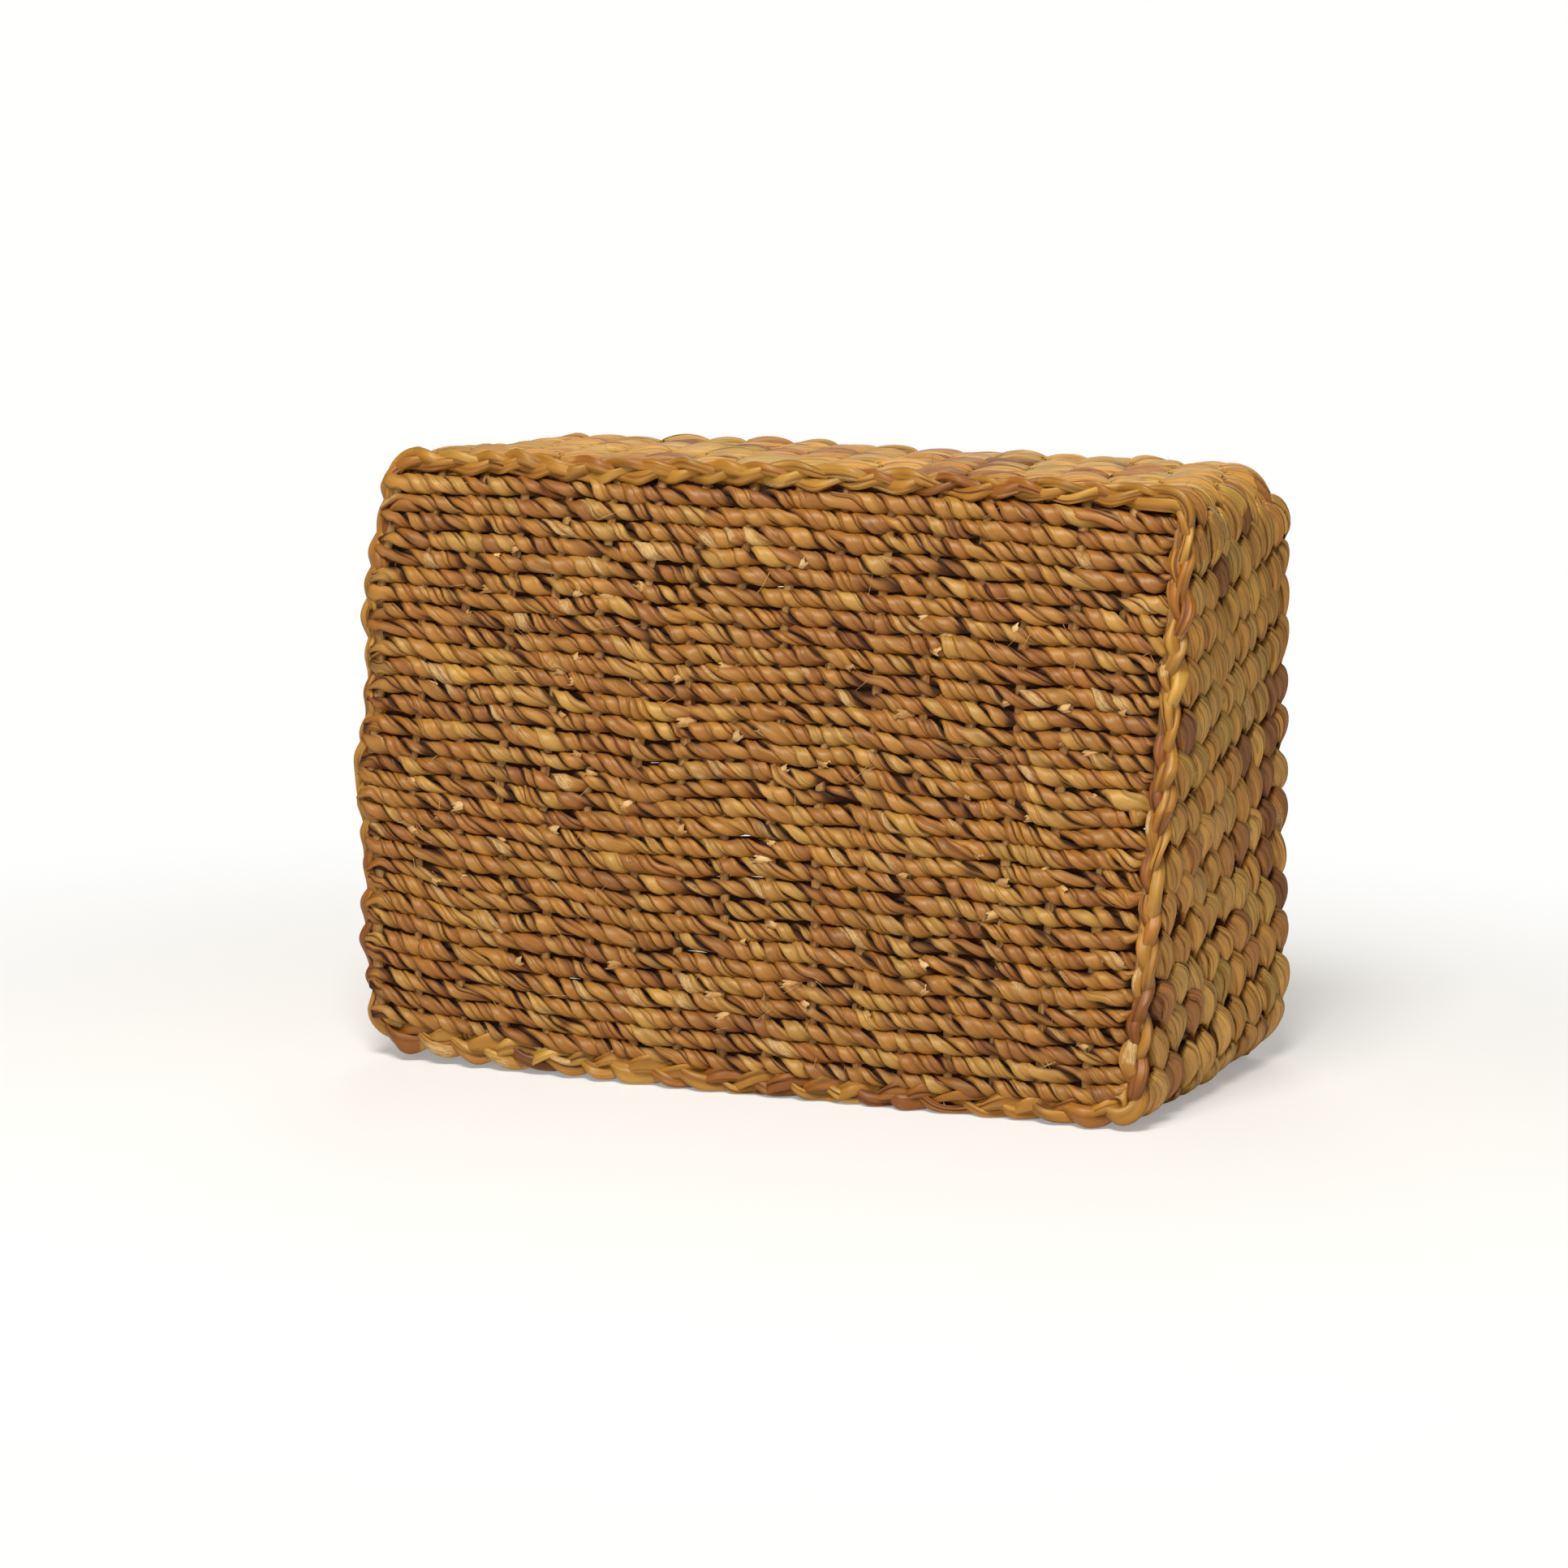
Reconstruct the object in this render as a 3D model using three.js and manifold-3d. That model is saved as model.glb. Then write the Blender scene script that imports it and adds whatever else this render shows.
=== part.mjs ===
// Twined water hyacinth basket, lying on one long wall with its underside towards -Y.
// Millimetres, +Z up. The pieces are set out upright, standing on the foot rope, and laid over at the end.
import * as THREE from "three";
import { mergeVertices } from "three/addons/utils/BufferGeometryUtils.js";
import Module from "manifold-3d";

const wasm = await Module();
wasm.setup();

// Outer size of the basket, upright
const LENGTH = 415;
const WIDTH = 300;
const HEIGHT = 195;
const CORNER_RADIUS = 30;

// Reeds and leaf strands
const STAKE_DIAMETER = 3.2;
const FIT = 0.3; // gap between pieces that lie against each other
const OUTER_STRAND = 5; // wall leaf outside the stakes
const INNER_STRAND = 3.8; // wall leaf inside the stakes
const BASE_STRAND = 3.6; // base leaf under and over the stakes

// Foot rope
const ROPE_WIDTH = 9;
const ROPE_HEIGHT = 9;
const ROPE_FLAT_WIDTH = 1.6; // flat of its underside
const ROPE_FLAT_HEIGHT = 0.8; // flat of its sides

// Courses of the wall
const COURSE_COUNT = 9;
const COURSE_BULGE = 2.4; // how far a course swells past its joints
const COURSE_SHOULDER = 5; // height over which it swells
const OVERRUN = 2; // how far a cutter passes the face it cuts

// Rows of the base
const ROW_COUNT = 30;
const BASE_RECESS = 1.2; // the rows' underside above the rope's
const ROW_BULGE = 1.1;
const ROW_SHOULDER = 2.4;

// Stakes
const HOOP_COUNT = 18; // stakes that pass under the base and up both long walls
const END_STAKE_COUNT = 12; // uprights in each short wall
const BEND_RADIUS = 10;
const BEND_REACH = 1.2; // how far the rows reach into the bend
const RIM_COVER = 0.5; // leaf above the folded stakes at the rim

// Facets
const CORNER_STEPS = 5;
const SLOT_STEPS = 4;
const ROW_END_STEPS = 4;
const BEND_STEPS = 4;
const FOLD_STEPS = 6;
const REED_SIDES = 6;
const ROPE_BEVEL_STEPS = 2;

// Leaf colours
const WALL_LEAF = [0xb99559, 0xc09a5c, 0xb08b52, 0xbb9a63];
const BASE_LEAF = [0xa9712f, 0xb27a36, 0x9f682b, 0xb98240, 0xa4702f];
const ROPE_LEAF = 0xa87432;
const REED_BROWN = 0x9a6c35;

// Sizes that follow
const STAKE_SLOT = STAKE_DIAMETER + 2 * FIT;
const WALL_THICKNESS = OUTER_STRAND + STAKE_SLOT + INNER_STRAND;
const WALL_MIDDLE = OUTER_STRAND + STAKE_SLOT / 2;
const BASE_THICKNESS = 2 * BASE_STRAND + STAKE_SLOT;
const BASE_MIDDLE = BASE_RECESS + BASE_THICKNESS / 2;
const CORNER_X = LENGTH / 2 - CORNER_RADIUS;
const CORNER_Y = WIDTH / 2 - CORNER_RADIUS;
const STAKE_TURN = CORNER_RADIUS - WALL_MIDDLE; // radius of the stakes' line at a corner
const BEND_TOP = BASE_MIDDLE + BEND_RADIUS;
const REED_TOP = HEIGHT - RIM_COVER - STAKE_DIAMETER / 2;
const COURSE_PITCH = (HEIGHT - ROPE_HEIGHT) / COURSE_COUNT;
const ROW_FIELD = WIDTH - 2 * (WALL_MIDDLE + BEND_RADIUS - BEND_REACH);
const ROW_PITCH = ROW_FIELD / ROW_COUNT;

// Stakes stand at equal steps along the wall's middle line, from one corner's diagonal to the next
const DIAGONAL = Math.PI / 4;
const HOOP_RUN = 2 * (CORNER_X + STAKE_TURN * DIAGONAL);
const HOOP_PITCH = HOOP_RUN / (HOOP_COUNT - 1);
const END_RUN = 2 * (CORNER_Y + STAKE_TURN * DIAGONAL - HOOP_PITCH);
const END_PITCH = END_RUN / (END_STAKE_COUNT - 1);

function arc(x, y, radius, from, to, steps) {
  const points = [];
  for (let step = 0; step <= steps; step++) {
    const angle = from + ((to - from) * step) / steps;
    points.push(new THREE.Vector2(x + radius * Math.cos(angle), y + radius * Math.sin(angle)));
  }
  return points;
}

// The basket's plan, drawn in from its outer face
function planAt(inset) {
  const radius = CORNER_RADIUS - inset;
  const corners = [
    [CORNER_X, CORNER_Y],
    [-CORNER_X, CORNER_Y],
    [-CORNER_X, -CORNER_Y],
    [CORNER_X, -CORNER_Y],
  ];
  return corners.flatMap(([x, y], quarter) => {
    const from = (quarter * Math.PI) / 2;
    return arc(x, y, radius, from, from + Math.PI / 2, CORNER_STEPS);
  });
}

// The space between outer and inner leaf along one wall, which takes that wall's stakes.
// run and across are the wall's corner centre along it and out from the basket's middle.
function stakeSlot(run, across, stakeRun) {
  const half = (stakeRun + STAKE_SLOT) / 2;
  const turn = Math.max(half - run, 0) / STAKE_TURN;
  const edge = (radius) => {
    if (turn === 0) return [new THREE.Vector2(half, across + radius)];
    return arc(run, across, radius, Math.PI / 2 - turn, Math.PI / 2, SLOT_STEPS);
  };
  const outer = CORNER_RADIUS - OUTER_STRAND;
  const end = [...edge(outer - STAKE_SLOT).reverse(), ...edge(outer)];
  const otherEnd = end.map(({ x, y }) => new THREE.Vector2(-x, y)).reverse();
  return [...end, ...otherEnd];
}

function solidOf(geometry) {
  const bare = geometry.clone();
  bare.deleteAttribute("normal");
  bare.deleteAttribute("uv");
  const merged = mergeVertices(bare);
  return new wasm.Manifold(
    new wasm.Mesh({
      numProp: 3,
      vertProperties: merged.attributes.position.array,
      triVerts: new Uint32Array(merged.index.array),
    }),
  );
}

function geometryOf(solid) {
  const mesh = solid.getMesh();
  const geometry = new THREE.BufferGeometry();
  geometry.setAttribute("position", new THREE.BufferAttribute(mesh.vertProperties, mesh.numProp));
  geometry.setIndex(new THREE.BufferAttribute(mesh.triVerts, 1));
  const faceted = geometry.toNonIndexed();
  faceted.computeVertexNormals();
  return faceted;
}

// A plan with rounded upper and lower edges, standing from one height to another
function roundedSlab(outline, holes, low, high, swell, shoulder, steps) {
  const shape = new THREE.Shape(outline);
  shape.holes = holes.map((hole) => new THREE.Path(hole));
  const slab = new THREE.ExtrudeGeometry(shape, {
    depth: high - low - 2 * shoulder,
    bevelThickness: shoulder,
    bevelSize: swell,
    bevelOffset: -swell,
    bevelSegments: steps,
  });
  slab.translate(0, 0, low + shoulder);
  return slab;
}

// A plan cut straight through, from one height to another
function cutter(outline, low, high) {
  const block = new THREE.ExtrudeGeometry(new THREE.Shape(outline), {
    depth: high - low,
    bevelEnabled: false,
  });
  block.translate(0, 0, low);
  return block;
}

// One course of the wall: outer and inner leaf all round, joined between the walls' slots
function wallCourse(index) {
  const low = ROPE_HEIGHT + index * COURSE_PITCH + FIT;
  const high = ROPE_HEIGHT + (index + 1) * COURSE_PITCH;
  const outer = planAt(0);
  const inner = planAt(WALL_THICKNESS);
  const slab = roundedSlab(outer, [inner], low, high, COURSE_BULGE, COURSE_SHOULDER, 1);
  let course = solidOf(slab);
  const longSlot = stakeSlot(CORNER_X, CORNER_Y, HOOP_RUN);
  const shortSlot = stakeSlot(CORNER_Y, CORNER_X, END_RUN);
  for (const [outline, turn] of [
    [longSlot, 0],
    [shortSlot, -Math.PI / 2],
    [longSlot, Math.PI],
    [shortSlot, Math.PI / 2],
  ]) {
    const slot = cutter(outline, low - OVERRUN, high + OVERRUN);
    slot.rotateZ(turn);
    course = course.subtract(solidOf(slot));
  }
  if (low < BEND_TOP) {
    // The lowest course has no inner leaf where the stakes bend in under the base
    const relief = cutter(planAt(OUTER_STRAND), low - OVERRUN, BEND_TOP);
    course = course.subtract(solidOf(relief));
  }
  return geometryOf(course);
}

function footRope() {
  const swell = (ROPE_WIDTH - ROPE_FLAT_WIDTH) / 2;
  const shoulder = (ROPE_HEIGHT - ROPE_FLAT_HEIGHT) / 2;
  const holes = [planAt(ROPE_WIDTH)];
  return roundedSlab(planAt(0), holes, 0, ROPE_HEIGHT, swell, shoulder, ROPE_BEVEL_STEPS);
}

// A point of the stakes' line along one wall, by its distance from the wall's middle
function onStakeLine(distance, run, across) {
  const turn = Math.max(Math.abs(distance) - run, 0) / STAKE_TURN;
  const straight = Math.min(Math.abs(distance), run);
  return {
    along: Math.sign(distance) * (straight + STAKE_TURN * Math.sin(turn)),
    out: across + STAKE_TURN * Math.cos(turn),
  };
}

const onLongWall = (distance) => onStakeLine(distance, CORNER_X, CORNER_Y);
const onShortWall = (distance) => onStakeLine(distance, CORNER_Y, CORNER_X);
const hoopPlace = (index) => index * HOOP_PITCH - HOOP_RUN / 2;
const endPlace = (index) => index * END_PITCH - END_RUN / 2;

// How far out a row reaches at a distance from the base's middle line: up to the rope,
// or short of a stake that it has no room to go round
function rowReach(farEdge) {
  const radius = CORNER_RADIUS - ROPE_WIDTH - FIT;
  const past = Math.max(farEdge - CORNER_Y, 0);
  const rope = CORNER_X + Math.sqrt(radius * radius - past * past);
  let reach = rope;
  for (let index = HOOP_COUNT / 2; index < HOOP_COUNT; index++) {
    const stake = onLongWall(hoopPlace(index)).along;
    if (stake + STAKE_SLOT / 2 + BASE_STRAND > rope) {
      reach = Math.min(reach, stake - STAKE_SLOT / 2);
    }
  }
  return reach;
}

// One row of the base: a leaf strand under the stakes and one over them, joined at both ends
function baseRow(index) {
  const middle = (index + 1 / 2) * ROW_PITCH - ROW_FIELD / 2;
  const width = ROW_PITCH - FIT;
  const reach = rowReach(Math.abs(middle) + width / 2);
  const round = BASE_THICKNESS / 2;
  const quarter = Math.PI / 2;
  const outline = [
    ...arc(reach - round, 0, round, -quarter, quarter, ROW_END_STEPS),
    ...arc(round - reach, 0, round, quarter, 3 * quarter, ROW_END_STEPS),
  ];
  const slotX = reach - BASE_STRAND;
  const slotZ = STAKE_SLOT / 2;
  const slot = [
    new THREE.Vector2(-slotX, -slotZ),
    new THREE.Vector2(slotX, -slotZ),
    new THREE.Vector2(slotX, slotZ),
    new THREE.Vector2(-slotX, slotZ),
  ];
  const row = roundedSlab(outline, [slot], -width / 2, width / 2, ROW_BULGE, ROW_SHOULDER, 1);
  row.rotateX(quarter);
  row.translate(0, middle, BASE_MIDDLE);
  return row;
}

// A reed's centre line, given by its corners and the points of its bends
class ReedLine extends THREE.Curve {
  constructor(points) {
    super();
    this.points = points;
  }

  getPoint(share) {
    const last = this.points.length - 1;
    return this.points[Math.round(share * last)].clone();
  }

  getPointAt(share) {
    return this.getPoint(share);
  }

  getTangentAt(share) {
    const last = this.points.length - 1;
    const index = Math.round(share * last);
    const here = this.points[index];
    const before = this.points[Math.max(index - 1, 0)];
    const after = this.points[Math.min(index + 1, last)];
    const incoming = here.clone().sub(before).normalize();
    const outgoing = after.clone().sub(here).normalize();
    return incoming.add(outgoing).normalize();
  }
}

function reed(points) {
  const section = new THREE.Shape(arc(0, 0, STAKE_DIAMETER / 2, 0, 2 * Math.PI, REED_SIDES).slice(1));
  return new THREE.ExtrudeGeometry(section, {
    steps: points.length - 1,
    extrudePath: new ReedLine(points),
  });
}

// A stake's bends and its run across the base, from one long wall to the other
function underBase(place, side) {
  const { along, out } = onLongWall(place);
  const points = [];
  for (const wall of [side, -side]) {
    for (let step = 0; step <= BEND_STEPS; step++) {
      const share = wall === side ? step / BEND_STEPS : 1 - step / BEND_STEPS;
      const turn = (share * Math.PI) / 2;
      const y = out - BEND_RADIUS * (1 - Math.cos(turn));
      points.push(new THREE.Vector3(along, wall * y, BEND_TOP - BEND_RADIUS * Math.sin(turn)));
    }
  }
  return points;
}

// A fold from one upright to the next in a wall; way is 1 at the rim and -1 at the foot
function fold(from, to, height, way, pointAt) {
  const radius = (to - from) / 2;
  const points = [];
  for (let step = 0; step <= FOLD_STEPS; step++) {
    const turn = (step * Math.PI) / FOLD_STEPS;
    const place = from + radius * (1 - Math.cos(turn));
    points.push(pointAt(place, height + way * Math.abs(radius) * Math.sin(turn)));
  }
  return points;
}

// Two neighbouring stakes of one reed, folded at the rim of one long wall
function stakePair(index) {
  const side = index % 2 ? 1 : -1;
  const first = hoopPlace(2 * index);
  const second = hoopPlace(2 * index + 1);
  const pointAt = (wall) => (place, z) => {
    const { along, out } = onLongWall(place);
    return new THREE.Vector3(along, wall * out, z);
  };
  return reed([
    pointAt(-side)(first, REED_TOP),
    ...underBase(first, -side),
    ...fold(first, second, REED_TOP - HOOP_PITCH / 2, 1, pointAt(side)),
    ...underBase(second, side),
    pointAt(-side)(second, REED_TOP),
  ]);
}

// The uprights of one short wall, a single reed folded to and fro
function endStakes(side) {
  const pointAt = (place, z) => {
    const { along, out } = onShortWall(place);
    return new THREE.Vector3(side * out, along, z);
  };
  const foot = ROPE_HEIGHT + FIT + STAKE_DIAMETER / 2 + END_PITCH / 2;
  const rim = REED_TOP - END_PITCH / 2;
  const points = [pointAt(endPlace(0), REED_TOP)];
  for (let index = 0; index < END_STAKE_COUNT - 1; index++) {
    const atFoot = index % 2 === 0;
    const height = atFoot ? foot : rim;
    points.push(...fold(endPlace(index), endPlace(index + 1), height, atFoot ? -1 : 1, pointAt));
  }
  points.push(pointAt(endPlace(END_STAKE_COUNT - 1), REED_TOP));
  return reed(points);
}

function leaf(name, geometry, color, roughness) {
  const material = new THREE.MeshStandardMaterial({ color, roughness, metalness: 0 });
  const mesh = new THREE.Mesh(geometry, material);
  mesh.name = name;
  return mesh;
}

const numbered = (name, index) => `${name}_${String(index + 1).padStart(2, "0")}`;

const walls = new THREE.Group();
for (let index = 0; index < COURSE_COUNT; index++) {
  const color = WALL_LEAF[index % WALL_LEAF.length];
  walls.add(leaf(numbered("wall_course", index), wallCourse(index), color, 0.75));
}

const base = new THREE.Group();
base.add(leaf("foot_rope", footRope(), ROPE_LEAF, 0.55));
for (let index = 0; index < ROW_COUNT; index++) {
  const color = BASE_LEAF[index % BASE_LEAF.length];
  base.add(leaf(numbered("base_row", index), baseRow(index), color, 0.5));
}

const stakes = new THREE.Group();
for (let index = 0; index < HOOP_COUNT / 2; index++) {
  stakes.add(leaf(numbered("stake_pair", index), stakePair(index), REED_BROWN, 0.6));
}
stakes.add(leaf("end_stakes_right", endStakes(1), REED_BROWN, 0.6));
stakes.add(leaf("end_stakes_left", endStakes(-1), REED_BROWN, 0.6));

// Laid over on a long wall, with the underside to the front
const basket = new THREE.Group();
basket.add(walls, base, stakes);
basket.rotation.x = -Math.PI / 2;
basket.position.set(0, -HEIGHT / 2, WIDTH / 2);

const part = new THREE.Group();
part.add(basket);

export default part;
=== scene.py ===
"""A twined water hyacinth basket lying on one long wall, dressed leaf strand by leaf strand."""
import math

import bpy
import numpy as np
from mathutils import Matrix, Vector


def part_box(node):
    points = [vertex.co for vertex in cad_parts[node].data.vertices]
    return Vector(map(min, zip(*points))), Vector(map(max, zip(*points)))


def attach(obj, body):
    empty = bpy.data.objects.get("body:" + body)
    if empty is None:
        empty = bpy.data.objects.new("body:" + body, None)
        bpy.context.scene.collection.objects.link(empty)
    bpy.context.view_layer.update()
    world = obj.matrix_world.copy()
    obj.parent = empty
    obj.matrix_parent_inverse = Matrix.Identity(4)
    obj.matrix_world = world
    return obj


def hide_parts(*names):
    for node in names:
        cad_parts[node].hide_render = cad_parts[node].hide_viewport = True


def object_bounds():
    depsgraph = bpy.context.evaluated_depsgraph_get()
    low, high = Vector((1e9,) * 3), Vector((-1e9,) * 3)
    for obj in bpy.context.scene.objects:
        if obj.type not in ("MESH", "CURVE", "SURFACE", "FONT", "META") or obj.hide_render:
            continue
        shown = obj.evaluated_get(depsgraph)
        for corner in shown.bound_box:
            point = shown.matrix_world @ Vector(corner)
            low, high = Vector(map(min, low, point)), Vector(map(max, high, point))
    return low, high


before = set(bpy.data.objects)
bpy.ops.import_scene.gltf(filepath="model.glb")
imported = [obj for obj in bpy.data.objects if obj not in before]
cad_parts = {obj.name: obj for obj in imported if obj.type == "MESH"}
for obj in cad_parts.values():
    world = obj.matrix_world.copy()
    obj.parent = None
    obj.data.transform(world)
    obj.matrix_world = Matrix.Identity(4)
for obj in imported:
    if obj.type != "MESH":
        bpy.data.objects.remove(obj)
cad_low, cad_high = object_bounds()
bpy.ops.object.select_all(action="DESELECT")

# Outer size of the basket in millimetres, upright: x along it, y across it, z up from its foot
MM = 0.001
LENGTH, HEIGHT, WIDTH = ((high - low) / MM for low, high in zip(cad_low, cad_high))


def upright_box(node):
    """A frame node's lowest and highest corner, in upright millimetres."""
    low, high = (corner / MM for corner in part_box(node))
    return (
        Vector((low.x, WIDTH / 2 - high.z, low.y + HEIGHT / 2)),
        Vector((high.x, WIDTH / 2 - low.z, high.y + HEIGHT / 2)),
    )


# Plan of the walls
CORNER_RADIUS = 30
FOOT_RADIUS = 15  # the corners are tight at the foot
RIM_RADIUS = 34  # and open out towards the rim
WALL_MIDDLE = 6.9  # from the outer face in to the stakes' line
STAKE_DIAMETER = 3.2
HOOP_COUNT = 18
END_STAKE_COUNT = 12

# How the real basket is out of square: shifts of its corners along the lying x, y and z
CORNER_SHIFTS = {
    ("left", "top", "foot"): (4.8, 4.6, 7.3),
    ("right", "top", "foot"): (7.1, 1.8, 3.6),
    ("left", "floor", "foot"): (-1.8, 2.0, 11.2),
    ("right", "floor", "foot"): (-9.5, -3.1, 3.5),
    ("left", "top", "rim"): (3.0, 0.0, 6.0),
    ("right", "top", "rim"): (4.8, 1.3, 5.5),
    ("left", "floor", "rim"): (0.0, 0.0, 6.0),
    ("right", "floor", "rim"): (14.0, 3.7, 0.5),
}
LEFT_BOW = 9  # the walls swell between their corners
LEFT_WAVE = 2.2
LEFT_WAVE_RUN = 100
LEFT_WAVE_START = 0.6
RIGHT_BOW = -3
TOP_SWELL_FOOT = 2
TOP_SWELL_RIM = 0
FLOOR_SWELL = 9
# Slow waves over the base, the long walls and the short ones: runs in millimetres, starts in radians
UNDULATION = 1.0
BASE_WAVE_X, BASE_WAVE_Y, BASE_WAVE_SLANT = 47, 39, 160
BASE_WAVE_TURN, BASE_WAVE_START = 1.3, 2.1
LONG_WAVE_X, LONG_WAVE_Z, LONG_WAVE_START = 61, 90, 0.7
SHORT_WAVE_Y, SHORT_WAVE_Z, SHORT_WAVE_START = 43, 70, 1.9
# What would sink into the floor is pressed flat on it, with a rounded edge
FLOOR_CLEARANCE = 0.3
FLOOR_ROUNDING = 1.5

QUARTER = LENGTH / 2 + WIDTH / 2 - 2 * CORNER_RADIUS + (CORNER_RADIUS - WALL_MIDDLE) * math.pi / 2
STAKE_TURN = CORNER_RADIUS - WALL_MIDDLE
HOOP_RUN = 2 * (LENGTH / 2 - CORNER_RADIUS + STAKE_TURN * math.pi / 4)
HOOP_PITCH = HOOP_RUN / (HOOP_COUNT - 1)
END_RUN = 2 * (WIDTH / 2 - CORNER_RADIUS + STAKE_TURN * math.pi / 4 - HOOP_PITCH)
END_PITCH = END_RUN / (END_STAKE_COUNT - 1)

hoop_places = np.arange(HOOP_COUNT) * HOOP_PITCH - HOOP_RUN / 2
end_places = np.arange(END_STAKE_COUNT) * END_PITCH - END_RUN / 2
stake_runs = np.sort(
    np.concatenate(
        [
            end_places,
            QUARTER - hoop_places,
            2 * QUARTER + end_places,
            3 * QUARTER + hoop_places,
        ]
    )
)
STAKE_COUNT = len(stake_runs)


def smooth(share):
    share = np.clip(share, 0, 1)
    return share * share * (3 - 2 * share)


def around(run, radius):
    """Place and outward direction in plan, at a run along the stakes' line.

    The run starts in the middle of the right wall and goes towards +y. radius is the corners'."""
    half_x = LENGTH / 2 - WALL_MIDDLE - radius
    half_y = WIDTH / 2 - WALL_MIDDLE - radius
    quarter = half_x + half_y + radius * math.pi / 2
    lap = run / QUARTER
    side = np.floor(lap).astype(int)
    rest = (lap - side) * quarter
    side = side % 4
    first = np.where(side % 2 == 0, half_y, half_x)
    reach = np.where(side % 2 == 0, half_x, half_y) + radius
    turn = np.clip((rest - first) / radius, 0, math.pi / 2)
    ahead = np.minimum(rest, first) + radius * np.sin(turn)
    back = radius * (1 - np.cos(turn)) + np.maximum(rest - first - radius * math.pi / 2, 0)
    out_x = np.array([1, 0, -1, 0])[side]
    out_y = np.array([0, 1, 0, -1])[side]
    x = out_x * (reach - back) - out_y * ahead
    y = out_y * (reach - back) + out_x * ahead
    normal_x = out_x * np.cos(turn) - out_y * np.sin(turn)
    normal_y = out_y * np.cos(turn) + out_x * np.sin(turn)
    return x, y, normal_x, normal_y


def on_wall(run, height, out):
    """Upright points from their run along the wall, height and distance out from the stakes' line."""
    opening = smooth(height / HEIGHT)
    radius = FOOT_RADIUS + (RIM_RADIUS - FOOT_RADIUS) * opening - WALL_MIDDLE
    x, y, normal_x, normal_y = around(run, radius)
    return np.stack([x + normal_x * out, y + normal_y * out, height], -1)


def laid(points):
    """Upright millimetres to metres of the lying basket, pulled out of square as the real one is."""
    x, y, z = points[..., 0], points[..., 1], points[..., 2]
    right = x / LENGTH + 0.5
    floor = y / WIDTH + 0.5
    rim = z / HEIGHT
    place = np.stack([x, z - HEIGHT / 2, WIDTH / 2 - y], -1)
    for (side, level, end), shift in CORNER_SHIFTS.items():
        weight = (
            (right if side == "right" else 1 - right)
            * (floor if level == "floor" else 1 - floor)
            * (rim if end == "rim" else 1 - rim)
        )
        place += weight[..., None] * np.array(shift)
    along = 1 - np.clip(2 * right - 1, -1, 1) ** 4
    up = 1 - np.clip(2 * floor - 1, -1, 1) ** 2
    wave = LEFT_WAVE * np.sin(2 * math.pi * y / LEFT_WAVE_RUN + LEFT_WAVE_START)
    place[..., 0] -= (LEFT_BOW + wave) * up * (1 - right) * (1 - rim / 2)
    place[..., 0] += RIGHT_BOW * up * right * (1 - rim)
    swell = TOP_SWELL_FOOT + (TOP_SWELL_RIM - TOP_SWELL_FOOT) * rim
    place[..., 2] += swell * along * (1 - floor)
    place[..., 2] -= FLOOR_SWELL * along * floor
    wave = np.sin(x / BASE_WAVE_X + BASE_WAVE_TURN * rim)
    wave += np.sin(y / BASE_WAVE_Y + BASE_WAVE_START + x / BASE_WAVE_SLANT)
    place[..., 1] += UNDULATION * wave * (1 - rim)
    wave = np.sin(x / LONG_WAVE_X + LONG_WAVE_START + z / LONG_WAVE_Z)
    place[..., 2] += UNDULATION * wave * (1 - floor)
    wave = np.sin(y / SHORT_WAVE_Y + SHORT_WAVE_START + z / SHORT_WAVE_Z)
    place[..., 0] += UNDULATION * wave * (2 * right - 1)
    lift = place[..., 2] - FLOOR_CLEARANCE
    settled = np.sqrt(lift * lift + FLOOR_ROUNDING * FLOOR_ROUNDING)
    place[..., 2] = FLOOR_CLEARANCE + (lift + settled) / 2
    return place * MM


DRIFT_LIMIT = 2  # a drifting value stays within so many of its sizes


def drift(rng, knots, size, closed=False):
    """A value that wanders along a strand, as a function of the share of its length."""
    limit = DRIFT_LIMIT * size
    values = np.clip(rng.normal(0, size, knots + 1), -limit, limit)
    if closed:
        values[-1] = values[0]

    def at(share):
        place = share % 1 * knots if closed else np.clip(share, 0, 1) * knots
        low = np.minimum(np.floor(place).astype(int), knots - 1)
        return values[low] + (values[low + 1] - values[low]) * smooth(place - low)

    return at


def over_turn(half_turns, shares, flips=False):
    """A row of shares spread over half a turn, read smoothly at a phase counted in half turns."""
    half = np.array(shares, float)
    turn = np.concatenate([half, -half if flips else half])
    place = half_turns % 2 * len(half)
    low = np.floor(place).astype(int)
    f = place - low
    before, here, after, beyond = (turn[(low + step) % len(turn)] for step in (-1, 0, 1, 2))
    slope = (after - before) / 2
    next_slope = (beyond - here) / 2
    blend = f * f * (3 - 2 * f)
    return (
        here
        + (after - here) * blend
        + slope * f * (1 - f) ** 2
        - next_slope * f * f * (1 - f)
    )


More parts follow.
